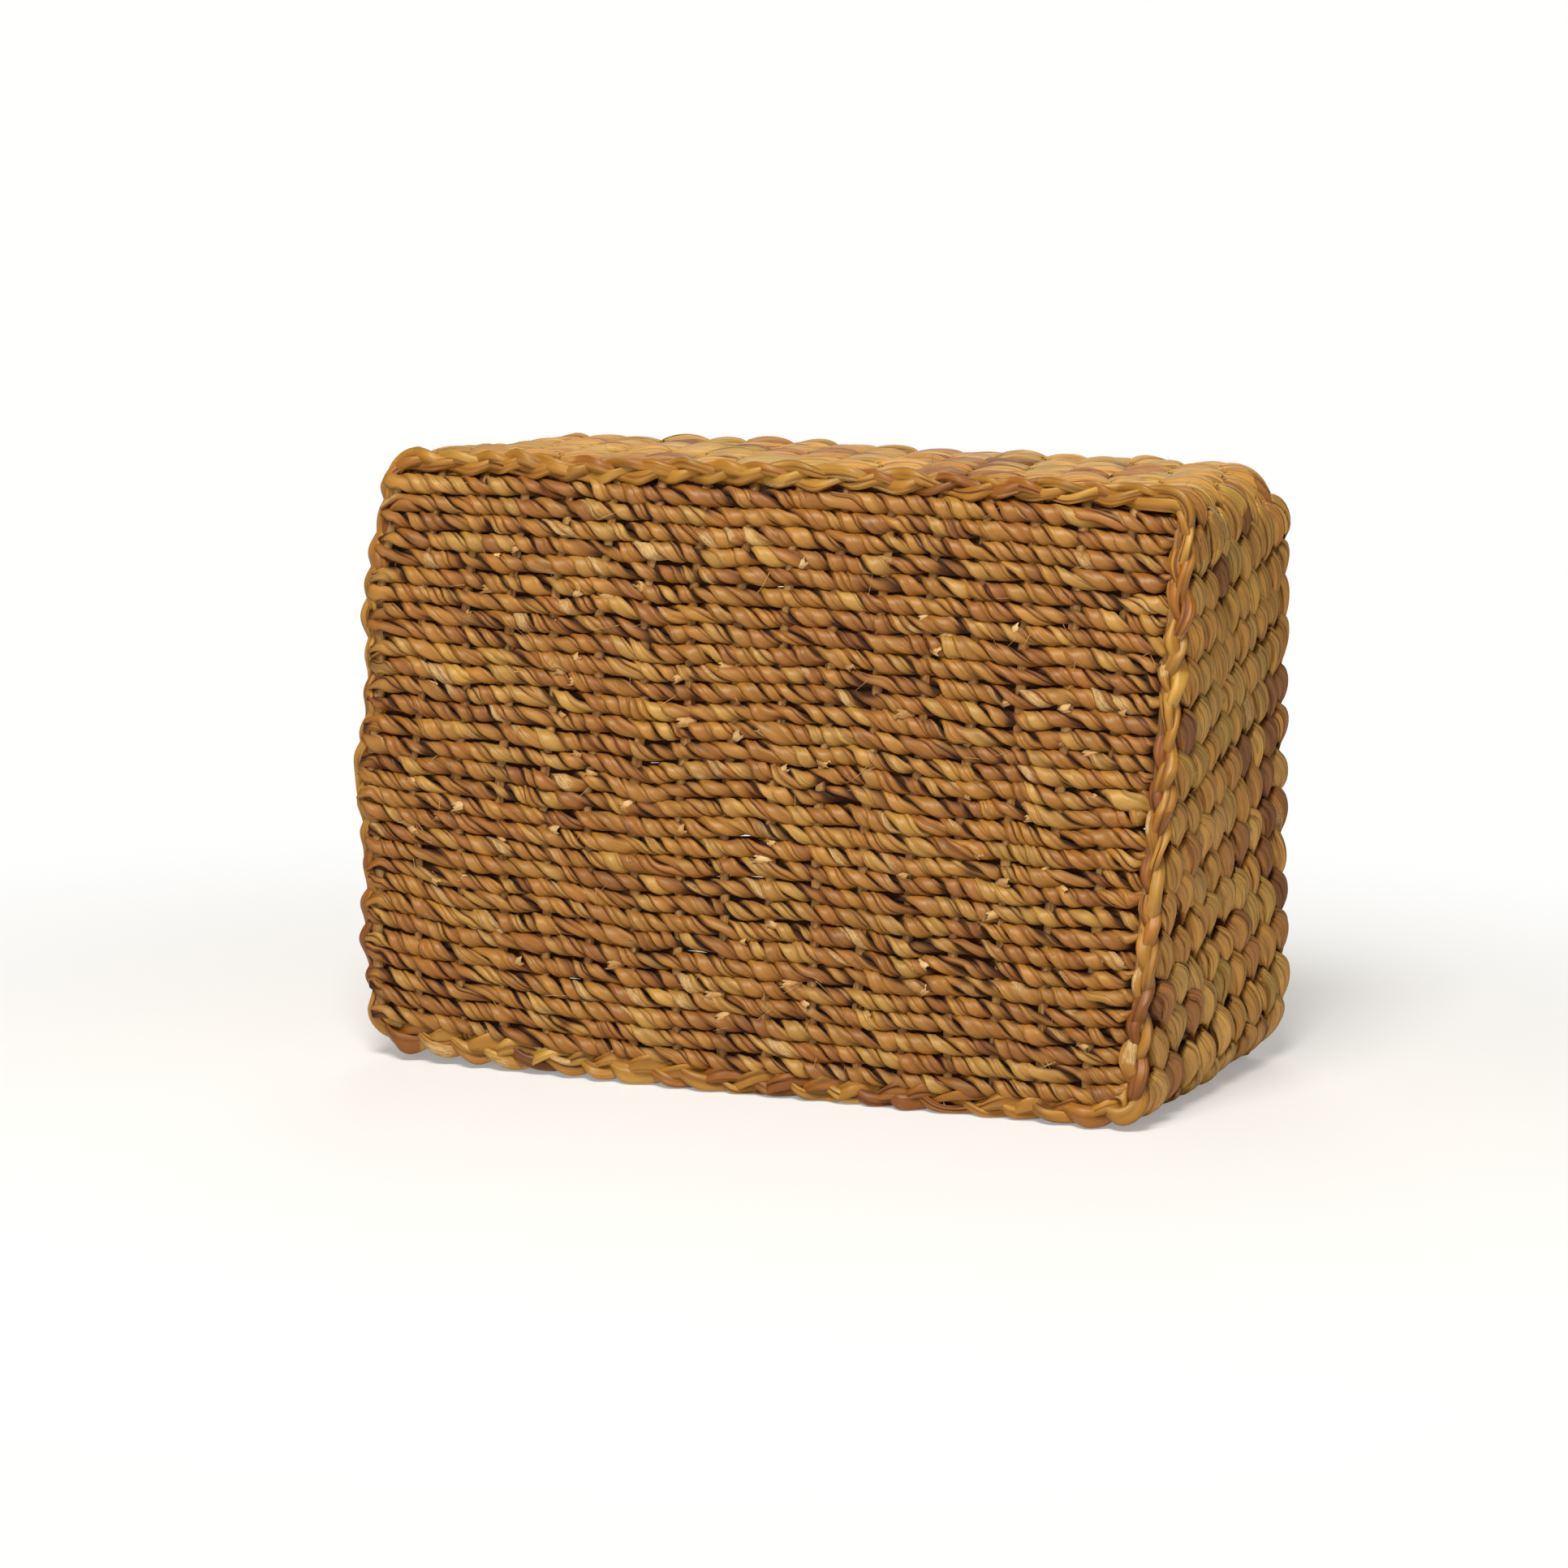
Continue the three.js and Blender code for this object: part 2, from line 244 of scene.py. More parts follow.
class Strand:
    """One rolled leaf strand, ring by ring, in the course's own run, height and out.

    width and depth are the half sizes of its section. turn swings the section round in the course,
    and tilt raises the edge that lies higher. shows counts the stretches that show, whose colour
    mostly keeps. core is the height of the line that several leaves are twisted round."""

    SEAM = 97  # shifts the grain from strand to strand
    FRONT = 0.25  # of the way round a section, where it faces out
    FACING_RISE = 2  # how soon a strand on its way out faces out altogether
    FOLD_SPREAD = 0.3  # how far a fold may start from its even place, as a share of a fold
    FOLD_DRIFT = 0.025  # how far it wanders round the strand
    CREASE_DEPTH = 0.55
    CREASE_DRIFT = 0.5
    LEAST_KNOTS = 2
    DRY_RISE = 2

    def __init__(
        self, rng, run, height, out, width, depth, turn, tilt, sides, folds, closed,
        shows, core=None,
    ):
        self.closed = closed
        share = np.linspace(0, 1, len(run), endpoint=not closed)
        facing = np.clip(out / np.abs(out).max() * self.FACING_RISE, -1, 1)
        if core is not None:
            facing = np.ones(len(run))
        even = np.arange(sides) / sides
        crowd = facing[:, None] * folds["crowding"] / (2 * math.pi)
        around_it = even - crowd * np.sin(2 * math.pi * (even - self.FRONT))
        length = abs(run[-1] - run[0])

        creases, lap, sector = self.folded(rng, share, around_it, length, folds, closed)
        swell = 1 + folds["lap"] * (0.5 - lap) - folds["dent"] * creases
        angle = 2 * math.pi * around_it
        high = np.cos(angle)
        proud = np.sin(angle)
        square = folds["square"]
        across = width[:, None] * np.sign(high) * np.abs(high) ** square * swell
        raised = depth[:, None] * np.sign(proud) * np.abs(proud) ** square * swell
        tilt = tilt[:, None]
        turn = turn[:, None]
        leaning = across * np.cos(tilt) - raised * np.sin(tilt)
        raised = across * np.sin(tilt) + raised * np.cos(tilt)
        self.points = np.stack(
            [
                run[:, None] - leaning * np.sin(turn),
                height[:, None] + leaning * np.cos(turn),
                out[:, None] + raised,
            ],
            -1,
        )
        girth = folds["girth"]
        offset = rng.integers(1, self.SEAM) * self.SEAM
        along = np.abs(run - run.mean()) if closed else run
        self.grain = np.stack(
            [
                np.broadcast_to(along[:, None] + offset, angle.shape),
                girth * np.cos(angle) + offset,
                girth * np.sin(angle),
            ],
            -1,
        )
        # Painted shade: a point is darkened in its tone the nearer it lies to the strand's middle or
        # core, and the deeper it lies in a crease
        rise = self.points[..., 2]
        if core is not None:
            rise = np.hypot(self.points[..., 1] - core[:, None], rise)
        buried = 1 - smooth((np.abs(rise) - folds["buried"]) / folds["open"])
        shade = np.maximum(creases, buried)
        self.tone = self.toned(rng, share, sector, shade, length, folds, shows)

    @staticmethod
    def folded(rng, share, around_it, length, folds, closed):
        """How deep in a crease each point lies, its place in its fold of leaf, and which fold."""
        count = folds["count"]
        knots = max(int(length / folds["wander"]), Strand.LEAST_KNOTS)
        starts = np.arange(count) + rng.uniform(-Strand.FOLD_SPREAD, Strand.FOLD_SPREAD, count)
        places = [
            start + drift(rng, knots, Strand.FOLD_DRIFT, closed)(share)[:, None]
            for start in np.sort(starts / count)
        ]
        depths = [
            Strand.CREASE_DEPTH + drift(rng, knots, Strand.CREASE_DRIFT, closed)(share)[:, None]
            for _ in places
        ]
        creases = np.zeros(around_it.shape)
        lap = np.zeros(around_it.shape)
        sector = np.zeros(around_it.shape, int)
        for index, (place, depth) in enumerate(zip(places, depths)):
            gap = (around_it - place + 0.5) % 1 - 0.5
            creases += np.clip(depth, 0, 1) * np.exp(-((gap / folds["crease"]) ** 2))
            after = places[(index + 1) % count]
            span = (after - place) % 1
            inside = (around_it - place) % 1
            within = inside < span
            lap = np.where(within, inside / span, lap)
            sector = np.where(within, index, sector)
        return np.minimum(creases, 1), lap, sector

    @staticmethod
    def toned(rng, share, sector, creases, length, folds, shows):
        """Leaf colour, dryness and painted shade of each point, from 0 to 1."""
        showing = np.floor(shows).astype(int)
        showing = showing - showing.min()
        likely = rng.uniform(0, 1, showing.max() + 1)[showing][:, None]
        own = rng.uniform(-1, 1, (showing.max() + 1, folds["count"]))[showing[:, None], sector]
        leaf = np.clip(likely + own * folds["unlike"], 0, 1)
        knots = max(int(length / folds["dry_run"]), Strand.LEAST_KNOTS)
        dry = np.stack([drift(rng, knots, 1)(share) for _ in range(folds["count"])])
        dry = dry[sector, np.arange(len(share))[:, None]]
        dry = np.clip((dry - folds["dry_from"]) * Strand.DRY_RISE, 0, 1)
        return np.stack([leaf, dry, creases], -1)


def faces_of(rings, sides, closed):
    """Quads of a tube, with its two end caps if it is open."""
    ring = np.arange(rings if closed else rings - 1)[:, None]
    side = np.arange(sides)[None, :]
    after = (ring + 1) % rings
    beside = (side + 1) % sides
    quads = np.stack(
        [
            ring * sides + side,
            ring * sides + beside,
            after * sides + beside,
            after * sides + side,
        ],
        -1,
    ).reshape(-1, 4)
    if closed:
        return quads, []
    first = np.arange(sides)[::-1]
    last = (rings - 1) * sides + np.arange(sides)
    return quads, [first, last]


# The strands' own map, which lays each strand out in strips
MAP_NAME = "OFBake"
MAP_EDGE = 0.006  # left free at the ends of each strip of the map
MAP_ROW_EDGE = 0.04  # left free above and below it, as a share of its row
MAP_CAPS = 0.03  # width of the map's last column, which holds the end caps
MAP_CAP_RADIUS = MAP_CAPS / 5
MAP_CAP_LEVELS = (0.3, 0.7)  # up the strand's own row


def strip_count(shells):
    """How many lengths each strand is cut into, so that all of them side by side fill a square."""
    middle = shells[0].points[:, 0]
    length = np.linalg.norm(np.diff(middle, axis=0), axis=1).sum()
    ring = shells[0].points[len(middle) // 2]
    girth = np.linalg.norm(ring - np.roll(ring, 1, axis=0), axis=1).sum()
    return max(round(math.sqrt(length / (girth * len(shells)))), 1)


def unrolled(rings, sides, closed, row, strips, rows):
    """Places on the map for a tube's faces and its two caps: it is cut into strips from a row on."""
    count = rings if closed else rings - 1
    length = math.ceil(count / strips)
    ring = np.arange(count)[:, None, None]
    strip = ring // length
    along = (ring + np.array([0, 0, 1, 1]) - strip * length) / length
    over = (np.arange(sides)[None, :, None] + np.array([0, 1, 1, 0])) / sides
    along, over = np.broadcast_arrays(along, over)
    x = MAP_EDGE + along * (1 - MAP_CAPS - 2 * MAP_EDGE)
    y = (row + strip + MAP_ROW_EDGE + over * (1 - 2 * MAP_ROW_EDGE)) / rows
    angles = 2 * math.pi * np.arange(sides) / sides
    circle = np.stack([np.cos(angles), np.sin(angles)], -1) * MAP_CAP_RADIUS
    caps = [
        cap + (1 - MAP_CAPS / 2, (row + level) / rows)
        for cap, level in zip((circle[::-1], circle), MAP_CAP_LEVELS)
    ]
    return np.stack([x, y], -1).reshape(-1, 4, 2), [] if closed else caps


def leaf_piece(name, shells, material, replaced):
    """One object from several tubes, which are strands or reeds, in place of frame nodes."""
    points, grain, tone, loops, starts, places = [], [], [], [], [], []
    count = 0
    strips = strip_count(shells)
    for number, strand in enumerate(shells):
        rings, sides = strand.points.shape[:2]
        flat, flat_caps = unrolled(
            rings, sides, strand.closed, number * strips, strips, strips * len(shells)
        )
        placed = laid(strand.upright).reshape(-1, 3)
        quads, caps = faces_of(rings, sides, strand.closed)
        corners = placed[quads]
        cross = np.cross(corners[:, 1] - corners[:, 0], corners[:, 2] - corners[:, 0])
        if np.einsum("ij,ij->i", corners[:, 0], cross).sum() < 0:
            quads = quads[:, ::-1]
            caps = [cap[::-1] for cap in caps]
            flat = flat[:, ::-1]
            flat_caps = [cap[::-1] for cap in flat_caps]
        places.extend(spots.reshape(-1, 2) for spots in [flat, *flat_caps])
        for face in [quads, *(cap[None, :] for cap in caps)]:
            loops.append((face + count).ravel())
            starts.append(np.full(len(face), face.shape[1]))
        points.append(placed)
        grain.append(strand.grain.reshape(-1, 3))
        tone.append(strand.tone.reshape(-1, 3))
        count += len(placed)
    corners = np.concatenate(loops).astype(np.int32)
    sizes = np.concatenate(starts)
    first = np.concatenate([[0], np.cumsum(sizes)[:-1]]).astype(np.int32)
    mesh = bpy.data.meshes.new(name)
    mesh.vertices.add(count)
    mesh.vertices.foreach_set("co", np.concatenate(points).astype(np.float32).ravel())
    mesh.loops.add(len(corners))
    mesh.loops.foreach_set("vertex_index", corners)
    mesh.polygons.add(len(sizes))
    mesh.polygons.foreach_set("loop_start", first)
    mesh.polygons.foreach_set("use_smooth", np.ones(len(sizes), bool))
    mesh.update(calc_edges=True)
    for label, values in (("grain", grain), ("tone", tone)):
        attribute = mesh.attributes.new(label, "FLOAT_VECTOR", "POINT")
        attribute.data.foreach_set("vector", np.concatenate(values).astype(np.float32).ravel())
    layer = mesh.uv_layers.new(name=MAP_NAME)
    layer.uv.foreach_set("vector", np.concatenate(places).astype(np.float32).ravel())
    mesh.materials.append(material)
    piece = bpy.data.objects.new(name, mesh)
    bpy.context.scene.collection.objects.link(piece)
    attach(piece, "root")
    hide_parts(*replaced)


class Term:
    """A socket whose value takes part in sums."""

    def __init__(self, finish, socket):
        self.finish = finish
        self.socket = socket

    def combined(self, operation, left, right):
        return self.finish.node("ShaderNodeMath", {"operation": operation}, {0: left, 1: right})

    def __add__(self, other):
        return self.combined("ADD", self, other)

    def __radd__(self, other):
        return self.combined("ADD", other, self)

    def __sub__(self, other):
        return self.combined("SUBTRACT", self, other)

    def __rsub__(self, other):
        return self.combined("SUBTRACT", other, self)

    def __mul__(self, other):
        return self.combined("MULTIPLY", self, other)

    def __rmul__(self, other):
        return self.combined("MULTIPLY", other, self)


class Finish:
    """A material, built up from expressions on its sockets."""

    MIX_FACTOR, MIX_FIRST, MIX_SECOND, MIX_COLOUR = 0, 6, 7, 2  # a Mix node's colour sockets

    def __init__(self, name):
        self.material = bpy.data.materials.new(name)
        self.material.use_nodes = True
        self.tree = self.material.node_tree
        self.shader = self.tree.nodes["Principled BSDF"]

    def node(self, kind, settings=None, inputs=None, output=0):
        """Adds a node, with its settings, then its sockets' values or links."""
        node = self.tree.nodes.new(kind)
        for key, value in (settings or {}).items():
            if key == "stops":
                ramp = node.color_ramp
                while len(ramp.elements) < len(value):
                    ramp.elements.new(0.5)
                for element, (place, colour) in zip(ramp.elements, value):
                    element.position = place
                    element.color = colour
            else:
                setattr(node, key, value)
        for key, value in (inputs or {}).items():
            self.feed(node.inputs[key], value)
        return Term(self, node.outputs[output])

    def feed(self, socket, value):
        if isinstance(value, Term):
            self.tree.links.new(value.socket, socket)
        else:
            socket.default_value = value

    def attribute(self, name):
        settings = {"attribute_name": name}
        return self.node("ShaderNodeAttribute", settings, output="Vector")

    def split(self, vector):
        node = self.node("ShaderNodeSeparateXYZ", inputs={0: vector}).socket.node
        return [Term(self, socket) for socket in node.outputs]

    def stretched(self, vector, factors):
        return self.node("ShaderNodeVectorMath", {"operation": "MULTIPLY"}, {0: vector, 1: factors})

    def noise(self, vector, scale, detail=3, roughness=0.55):
        inputs = {"Vector": vector, "Scale": scale, "Detail": detail, "Roughness": roughness}
        return self.node("ShaderNodeTexNoise", inputs=inputs)

    def clamped(self, value, low, high):
        inputs = {"Value": value, "From Min": low, "From Max": high}
        return self.node("ShaderNodeMapRange", {"interpolation_type": "SMOOTHSTEP"}, inputs)

    def mixed(self, factor, first, second, blend="MIX"):
        node = self.tree.nodes.new("ShaderNodeMix")
        node.data_type = "RGBA"
        node.blend_type = blend
        self.feed(node.inputs[self.MIX_FACTOR], factor)
        self.feed(node.inputs[self.MIX_FIRST], first)
        self.feed(node.inputs[self.MIX_SECOND], second)
        return Term(self, node.outputs[self.MIX_COLOUR])


def painted(red, green, blue):
    """A colour as it shows on screen, from 0 to 255, made linear by the screen's usual curve."""
    shown = np.array([red, green, blue]) / 255
    linear = np.where(shown <= 0.04045, shown / 12.92, ((shown + 0.055) / 1.055) ** 2.4)
    return (*(float(value) for value in linear), 1.0)


# Patterns in a leaf: the share of a strand's length that each reads, its scale, detail and roughness
PATTERNS = {
    "fibre": (0.05, 1.9, 4, 0.6),
    "vein": (0.03, 0.7, 2, 0.55),
    "cloud": (0.25, 0.16, 3, 0.55),
    "fleck": (0.5, 1.3, 2, 0.7),
    "speckle": (0.14, 2.2, 3, 0.7),
    "ply": (0.045, 1, 1, 0.4),  # its scale is given by fold_scale
}
# How strongly each makes a leaf lighter or darker, rougher, and raises its surface
VEIN_LIGHT, CLOUD_LIGHT = 0.8, 0.7
FIBRE_ROUGH, PATCH_ROUGH, CREASE_ROUGH = 0.25, 0.25, 0.5
FIBRE_RELIEF, VEIN_RELIEF, FLECK_RELIEF, FOLD_RELIEF, PLY_RELIEF = 0.5, 0.8, 1.2, 0.5, 1.5
# Where each mark begins and is full, in its pattern, and how much of the colour it covers
FOLD_LINE = (0.0, 0.022)
FOLD_SEEN = (0.3, 0.6)
FOLD_COVER = 0.5
PATCH_FLECK = 0.9  # how ragged a dry patch is
PATCH_EDGE = (0.35, 0.75)
PATCH_COVER = 0.75
SPECKLE_EDGE = (0.4, 0.62)
STAIN_EDGE = (0.66, 0.76)
STAIN_COVER = 0.45
# Painted shade: where the darkest shade deep in creases and in the weave begins and is full, and how
# much of the colour it covers
PAINTED_SHADE_EDGE = (0.5, 1.0)
PAINTED_SHADE_COVER = 0.85
PLY_EDGE = (0.35, 0.65)
SPECK = painted(156, 116, 66)
PAINTED_SHADE_TINT = (0.42, 0.24, 0.07, 1)  # painted shade: what is left of a leaf's colour where it is tucked away
LEAF_SPECULAR = 0.5
LEAF_SHEEN_TINT = (1, 0.92, 0.74, 1)


def leaf_finish(name, palette, straw, stain_and_shade_brown, gloss, grain_depth, streak, fold_scale):
    """Dried leaf: a colour for each fold, streaks and creases along it, dry pale patches and dark
    stains, and painted shade in its creases and deep places.
    """
    finish = Finish(name)
    grain = finish.attribute("grain")
    # the tone's third value is painted shade, from creases and from lying deep in the weave
    leaf, dry, crease = finish.split(finish.attribute("tone"))
    stops = [(index / (len(palette) - 1), painted(*colour)) for index, colour in enumerate(palette)]
    base = finish.node("ShaderNodeValToRGB", {"stops": stops}, {0: leaf})
    stain_and_shade_brown = painted(*stain_and_shade_brown)

    def pattern(kind, by=1):
        along, scale, detail, roughness = PATTERNS[kind]
        place = finish.stretched(grain, (along, 1, 1))
        return finish.noise(place, scale * by, detail, roughness)

    fibre, vein, cloud, fleck = (pattern(kind) for kind in ("fibre", "vein", "cloud", "fleck"))
    ply = pattern("ply", fold_scale)
    past_fold = finish.node("ShaderNodeMath", {"operation": "ABSOLUTE"}, {0: ply - 0.5})
    fold = (1 - finish.clamped(past_fold, *FOLD_LINE)) * finish.clamped(cloud, *FOLD_SEEN)

    light = 1 + (fibre - 0.5) * streak + (vein - 0.5) * (VEIN_LIGHT * streak)
    light = light + (cloud - 0.5) * CLOUD_LIGHT
    shade = finish.node("ShaderNodeCombineXYZ", inputs={0: light, 1: light, 2: light})
    colour = finish.mixed(1, base, shade, "MULTIPLY")
    patch = finish.clamped(dry + (fleck - 0.5) * PATCH_FLECK, *PATCH_EDGE)
    speckle = finish.clamped(pattern("speckle"), *SPECKLE_EDGE)
    dried = finish.mixed(speckle, painted(*straw), SPECK)
    colour = finish.mixed(patch * PATCH_COVER, colour, dried)
    stain = finish.clamped(fleck, *STAIN_EDGE) * STAIN_COVER
    colour = finish.mixed(stain, colour, stain_and_shade_brown)
    colour = finish.mixed(fold * FOLD_COVER, colour, stain_and_shade_brown)
    # Painted shade: the leaf is darkened where it lies in a crease or deep in the weave, and goes
    # over into dark brown where deepest
    colour = finish.mixed(crease, colour, PAINTED_SHADE_TINT, "MULTIPLY")
    deep = finish.clamped(crease, *PAINTED_SHADE_EDGE) * PAINTED_SHADE_COVER
    colour = finish.mixed(deep, colour, stain_and_shade_brown)
    finish.feed(finish.shader.inputs["Base Color"], colour)

    rough = gloss + (fibre - 0.5) * FIBRE_ROUGH + patch * PATCH_ROUGH + crease * CREASE_ROUGH
    finish.feed(finish.shader.inputs["Roughness"], rough)
    finish.shader.inputs["Specular IOR Level"].default_value = LEAF_SPECULAR
    finish.shader.inputs["Specular Tint"].default_value = LEAF_SHEEN_TINT
    relief = fibre * FIBRE_RELIEF + vein * VEIN_RELIEF + fleck * patch * FLECK_RELIEF
    relief = relief - fold * FOLD_RELIEF + finish.clamped(ply, *PLY_EDGE) * PLY_RELIEF
    bump = finish.node(
        "ShaderNodeBump",
        inputs={"Strength": 1.0, "Distance": grain_depth * MM, "Height": relief},
    )
    finish.feed(finish.shader.inputs["Normal"], bump)
    return finish.material


# Leaf with its smooth side out, as the base rows and the foot rope show it
GOLDEN = {
    "straw": (202, 172, 116),
    # the dark brown of stains and fold lines, and of the painted shade deepest in the weave
    "stain_and_shade_brown": (34, 13, 2),
    "gloss": 0.46,
    "grain_depth": 0.25,
    "streak": 0.4,
    "fold_scale": 0.13,
}
base_leaf = leaf_finish(
    "golden_leaf",
    palette=[
        (131, 80, 26),
        (144, 90, 29),
        (146, 93, 30),
        (152, 101, 34),
        (162, 112, 41),
        (145, 95, 33),
        (150, 101, 36),
        (172, 129, 57),
        (159, 117, 49),
    ],
    **GOLDEN,
)
wall_leaf = leaf_finish(
    "khaki_leaf",
    palette=[
        (136, 82, 36),
        (165, 106, 46),
        (192, 134, 57),
        (201, 145, 63),
        (184, 130, 53),
        (205, 155, 73),
        (178, 138, 59),
        (201, 151, 76),
        (188, 136, 61),
    ],
    straw=(210, 182, 128),
    stain_and_shade_brown=(54, 24, 4),
    gloss=0.62,
    grain_depth=0.7,
    streak=0.9,
    fold_scale=0.62,
)
rope_leaf = leaf_finish(
    "border_leaf",
    palette=[
        (118, 63, 17),
        (146, 89, 26),
        (163, 113, 36),
        (153, 104, 34),
        (176, 132, 53),
    ],
    **GOLDEN,
)
reed_leaf = leaf_finish(
    "stake_leaf",
    palette=[(118, 78, 34), (142, 100, 48), (158, 118, 62)],
    straw=(198, 160, 91),
    stain_and_shade_brown=(46, 19, 3),
    gloss=0.5,
    grain_depth=0.3,
    streak=0.6,
    fold_scale=0.4,
)

# Wall courses: each strand crosses outside one stake and inside the next
COURSE_NAMES = sorted(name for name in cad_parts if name.startswith("wall_course"))
WALL_RING_STEP = 1.6
WALL_SIDES = 26
# A strand's folds of leaf: how many, a crease's width in turns, the length over which it wanders
# and its dent, how far a fold laps over the next, how square the section is and how much the folds
# crowd to the front. Then the girth of the grain, how far from the middle a point still lies in
# painted shade and over what it comes out, the dry patches' length and rarity, and how unlike
# folds are.
WALL_FOLDS = {
    "count": 7,
    "crease": 0.018,
    "wander": 26,
    "dent": 0.2,
    "lap": 0.2,
    "square": 0.85,
    "crowding": 0.4,
    "girth": 6,
    "buried": 1.7,
    "open": 3.8,
    "dry_run": 60,
    "dry_from": 1.5,
    "unlike": 0.12,
}
WALL_OUT = 3.6
COURSE_LEAN = -3.5  # along the wall, from one course to the next
WALL_SEED = 11
WALL_TURN = math.radians(60)
WALL_DEPTH = 2.8
WALL_TILT = math.radians(15)
# How far each of these wanders from stake to stake
WALL_DRIFT = {
    "stitch": 0.085,
    "run": 1.6,
    "size": 0.12,
    "height": 0.9,
    "out": 0.4,
    "depth": 0.08,
    "turn": 0.16,
    "tilt": 0.06,
}
# Shares over the half turn in which a strand shows: its height and width of half a course's height,
# and its out, turn and depth of WALL_OUT, WALL_TURN and WALL_DEPTH
WALL_HEIGHT_SHARES = (-0.66, -0.42, -0.16, 0.05, 0.19, 0.27, 0.31, 0.36)
WALL_WIDTH_SHARES = (0.66, 0.82, 0.95, 1.02, 0.98, 0.84, 0.62, 0.42)
WALL_OUT_SHARES = (0.36, 0.70, 0.93, 1.03, 1.05, 0.99, 0.82, 0.45)
WALL_TURN_SHARES = (1.0, 0.83, 0.7, 0.53, 0.37, 0.2, 0.0, -0.25)
WALL_DEPTH_SHARES = (1.3, 1.1, 0.95, 0.88, 0.88, 0.92, 1.0, 1.2)


def wall_course(index, name):
    """Two strands round the basket that change sides at every stake."""
    low, high = upright_box(name)
    middle = (low.z + high.z) / 2
    half = (high.z - low.z) / 2
    rng = np.random.default_rng([WALL_SEED, index])
    rings = int(4 * QUARTER / WALL_RING_STEP)
    share = np.arange(rings) / rings
    runs = np.concatenate([stake_runs, [stake_runs[0] + 4 * QUARTER]])
    evenly = np.interp(share * STAKE_COUNT, np.arange(STAKE_COUNT + 1), runs)

    def wander(kind):
        return drift(rng, STAKE_COUNT, WALL_DRIFT[kind], True)(share)

    shells = []
    for strand in range(2):
        stitch = share * STAKE_COUNT + 0.5 + strand + wander("stitch")
        run = evenly + COURSE_LEAN * index + wander("run")
        size = 1 + wander("size")
        height = middle + half * over_turn(stitch, WALL_HEIGHT_SHARES, True) + wander("height")
        out = WALL_OUT * over_turn(stitch, WALL_OUT_SHARES, True) + wander("out")
        width = half * size * over_turn(stitch, WALL_WIDTH_SHARES)
        depth = WALL_DEPTH * over_turn(stitch, WALL_DEPTH_SHARES) * (1 + wander("depth"))
        turn = WALL_TURN * over_turn(stitch, WALL_TURN_SHARES, True) + wander("turn")
        tilt = WALL_TILT + wander("tilt")
        leaf = Strand(
            rng, run, height, out, width, depth, turn, tilt, WALL_SIDES, WALL_FOLDS, True,
            shows=(stitch + 0.5) / 2,
        )
        leaf.upright = on_wall(leaf.points[..., 0], leaf.points[..., 1], leaf.points[..., 2])
        shells.append(leaf)
    leaf_piece("woven_" + name, shells, wall_leaf, [name])


# Base rows: three leaves twisted round a thin filling, each in its turn to the front
ROW_NAMES = sorted(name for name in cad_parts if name.startswith("base_row"))
ROW_RING_STEP = 1.6
ROW_SIDES = 14
ROW_FOLDS = {
    "count": 3,
    "crease": 0.03,
    "wander": 30,
    "dent": 0.16,
    "lap": 0.2,
    "square": 0.84,
    "crowding": 0.4,
    "girth": 3,
    "buried": 3.3,
    "open": 1.9,
    "dry_run": 36,
    "dry_from": 1.25,
    "unlike": 0.12,
}
ROW_SEED = 23
ROW_LEAVES = 3
ROW_TURN_STAKES = 1.38  # how many stakes a leaf passes in one turn
ROW_SPREAD = 1.028  # the rows lie a little further apart than their nodes
ROW_OUT = 2.9
ROW_SWAY = 2.55
ROW_WIDTH = 2.9
ROW_BELLY = 0.16  # how much wider a leaf is where it lies flat to the front
ROW_DEPTH = 2.25
ROW_DEPTH_SHARE = 0.5  # how much of a leaf's own width goes into its depth
ROW_LIFT = 0.26  # how far a leaf's lower edge stands over the next leaf
ROW_SLOPE = 0.36
ROW_WANDER = 0.4
ROW_SLIP = 0.15  # turns by which a row may be out of step with its stakes
# How far each of these wanders along a row
ROW_DRIFT = {
    "twist": 0.1,
    "waist": 0.4,
    "size": 0.04,
    "turn": 0.045,
    "own": 0.18,
    "apart": 0.15,
    "filling": 0.05,
}
ROW_WAIST = 0.28  # how much slimmer a row is at a stake
ROW_WAIST_REACH = 5.0
ROW_FILLING_OUT = -1.6
ROW_FILLING_WIDTH = 5.75
ROW_FILLING_DEPTH = 0.8
ROW_FILLING_SIDES = 8
ROW_END = 6  # over which a row's ends turn in towards the next row's
ROW_END_LEAN = 0.25  # how far they do, as a share of the rows' pitch
ROW_END_SLIM = 0.15
ROW_DIVE_RIGHT = 2.2
ROW_DIVE_LEFT = 1.0
ROW_OVERLAP_RIGHT = 6
ROW_OVERLAP_LEFT = 12
ROW_KNOT = 12  # between the knots of a leaf's drift
FIELD_SEED = 5
FIELD_KNOTS = (17, 9)
FIELD_SWAY = 1.6
field_rng = np.random.default_rng([FIELD_SEED])
field_values = field_rng.normal(0, FIELD_SWAY, FIELD_KNOTS)


def field_sway(x, y):
    """How far the weave has slipped across itself, alike for rows that lie together."""
    columns = np.clip(x / LENGTH + 0.5, 0, 1) * (FIELD_KNOTS[0] - 1)
    level = np.clip(y / WIDTH + 0.5, 0, 1) * (FIELD_KNOTS[1] - 1)
    column = np.minimum(np.floor(columns).astype(int), FIELD_KNOTS[0] - 2)
    row = min(int(level), FIELD_KNOTS[1] - 2)
    across = smooth(columns - column)
    down = smooth(level - row)
    upper, lower = (
        field_values[column, here] * (1 - across) + field_values[column + 1, here] * across
        for here in (row, row + 1)
    )
    edge = 1 - (2 * y / WIDTH) ** 2
    return (upper * (1 - down) + lower * down) * edge


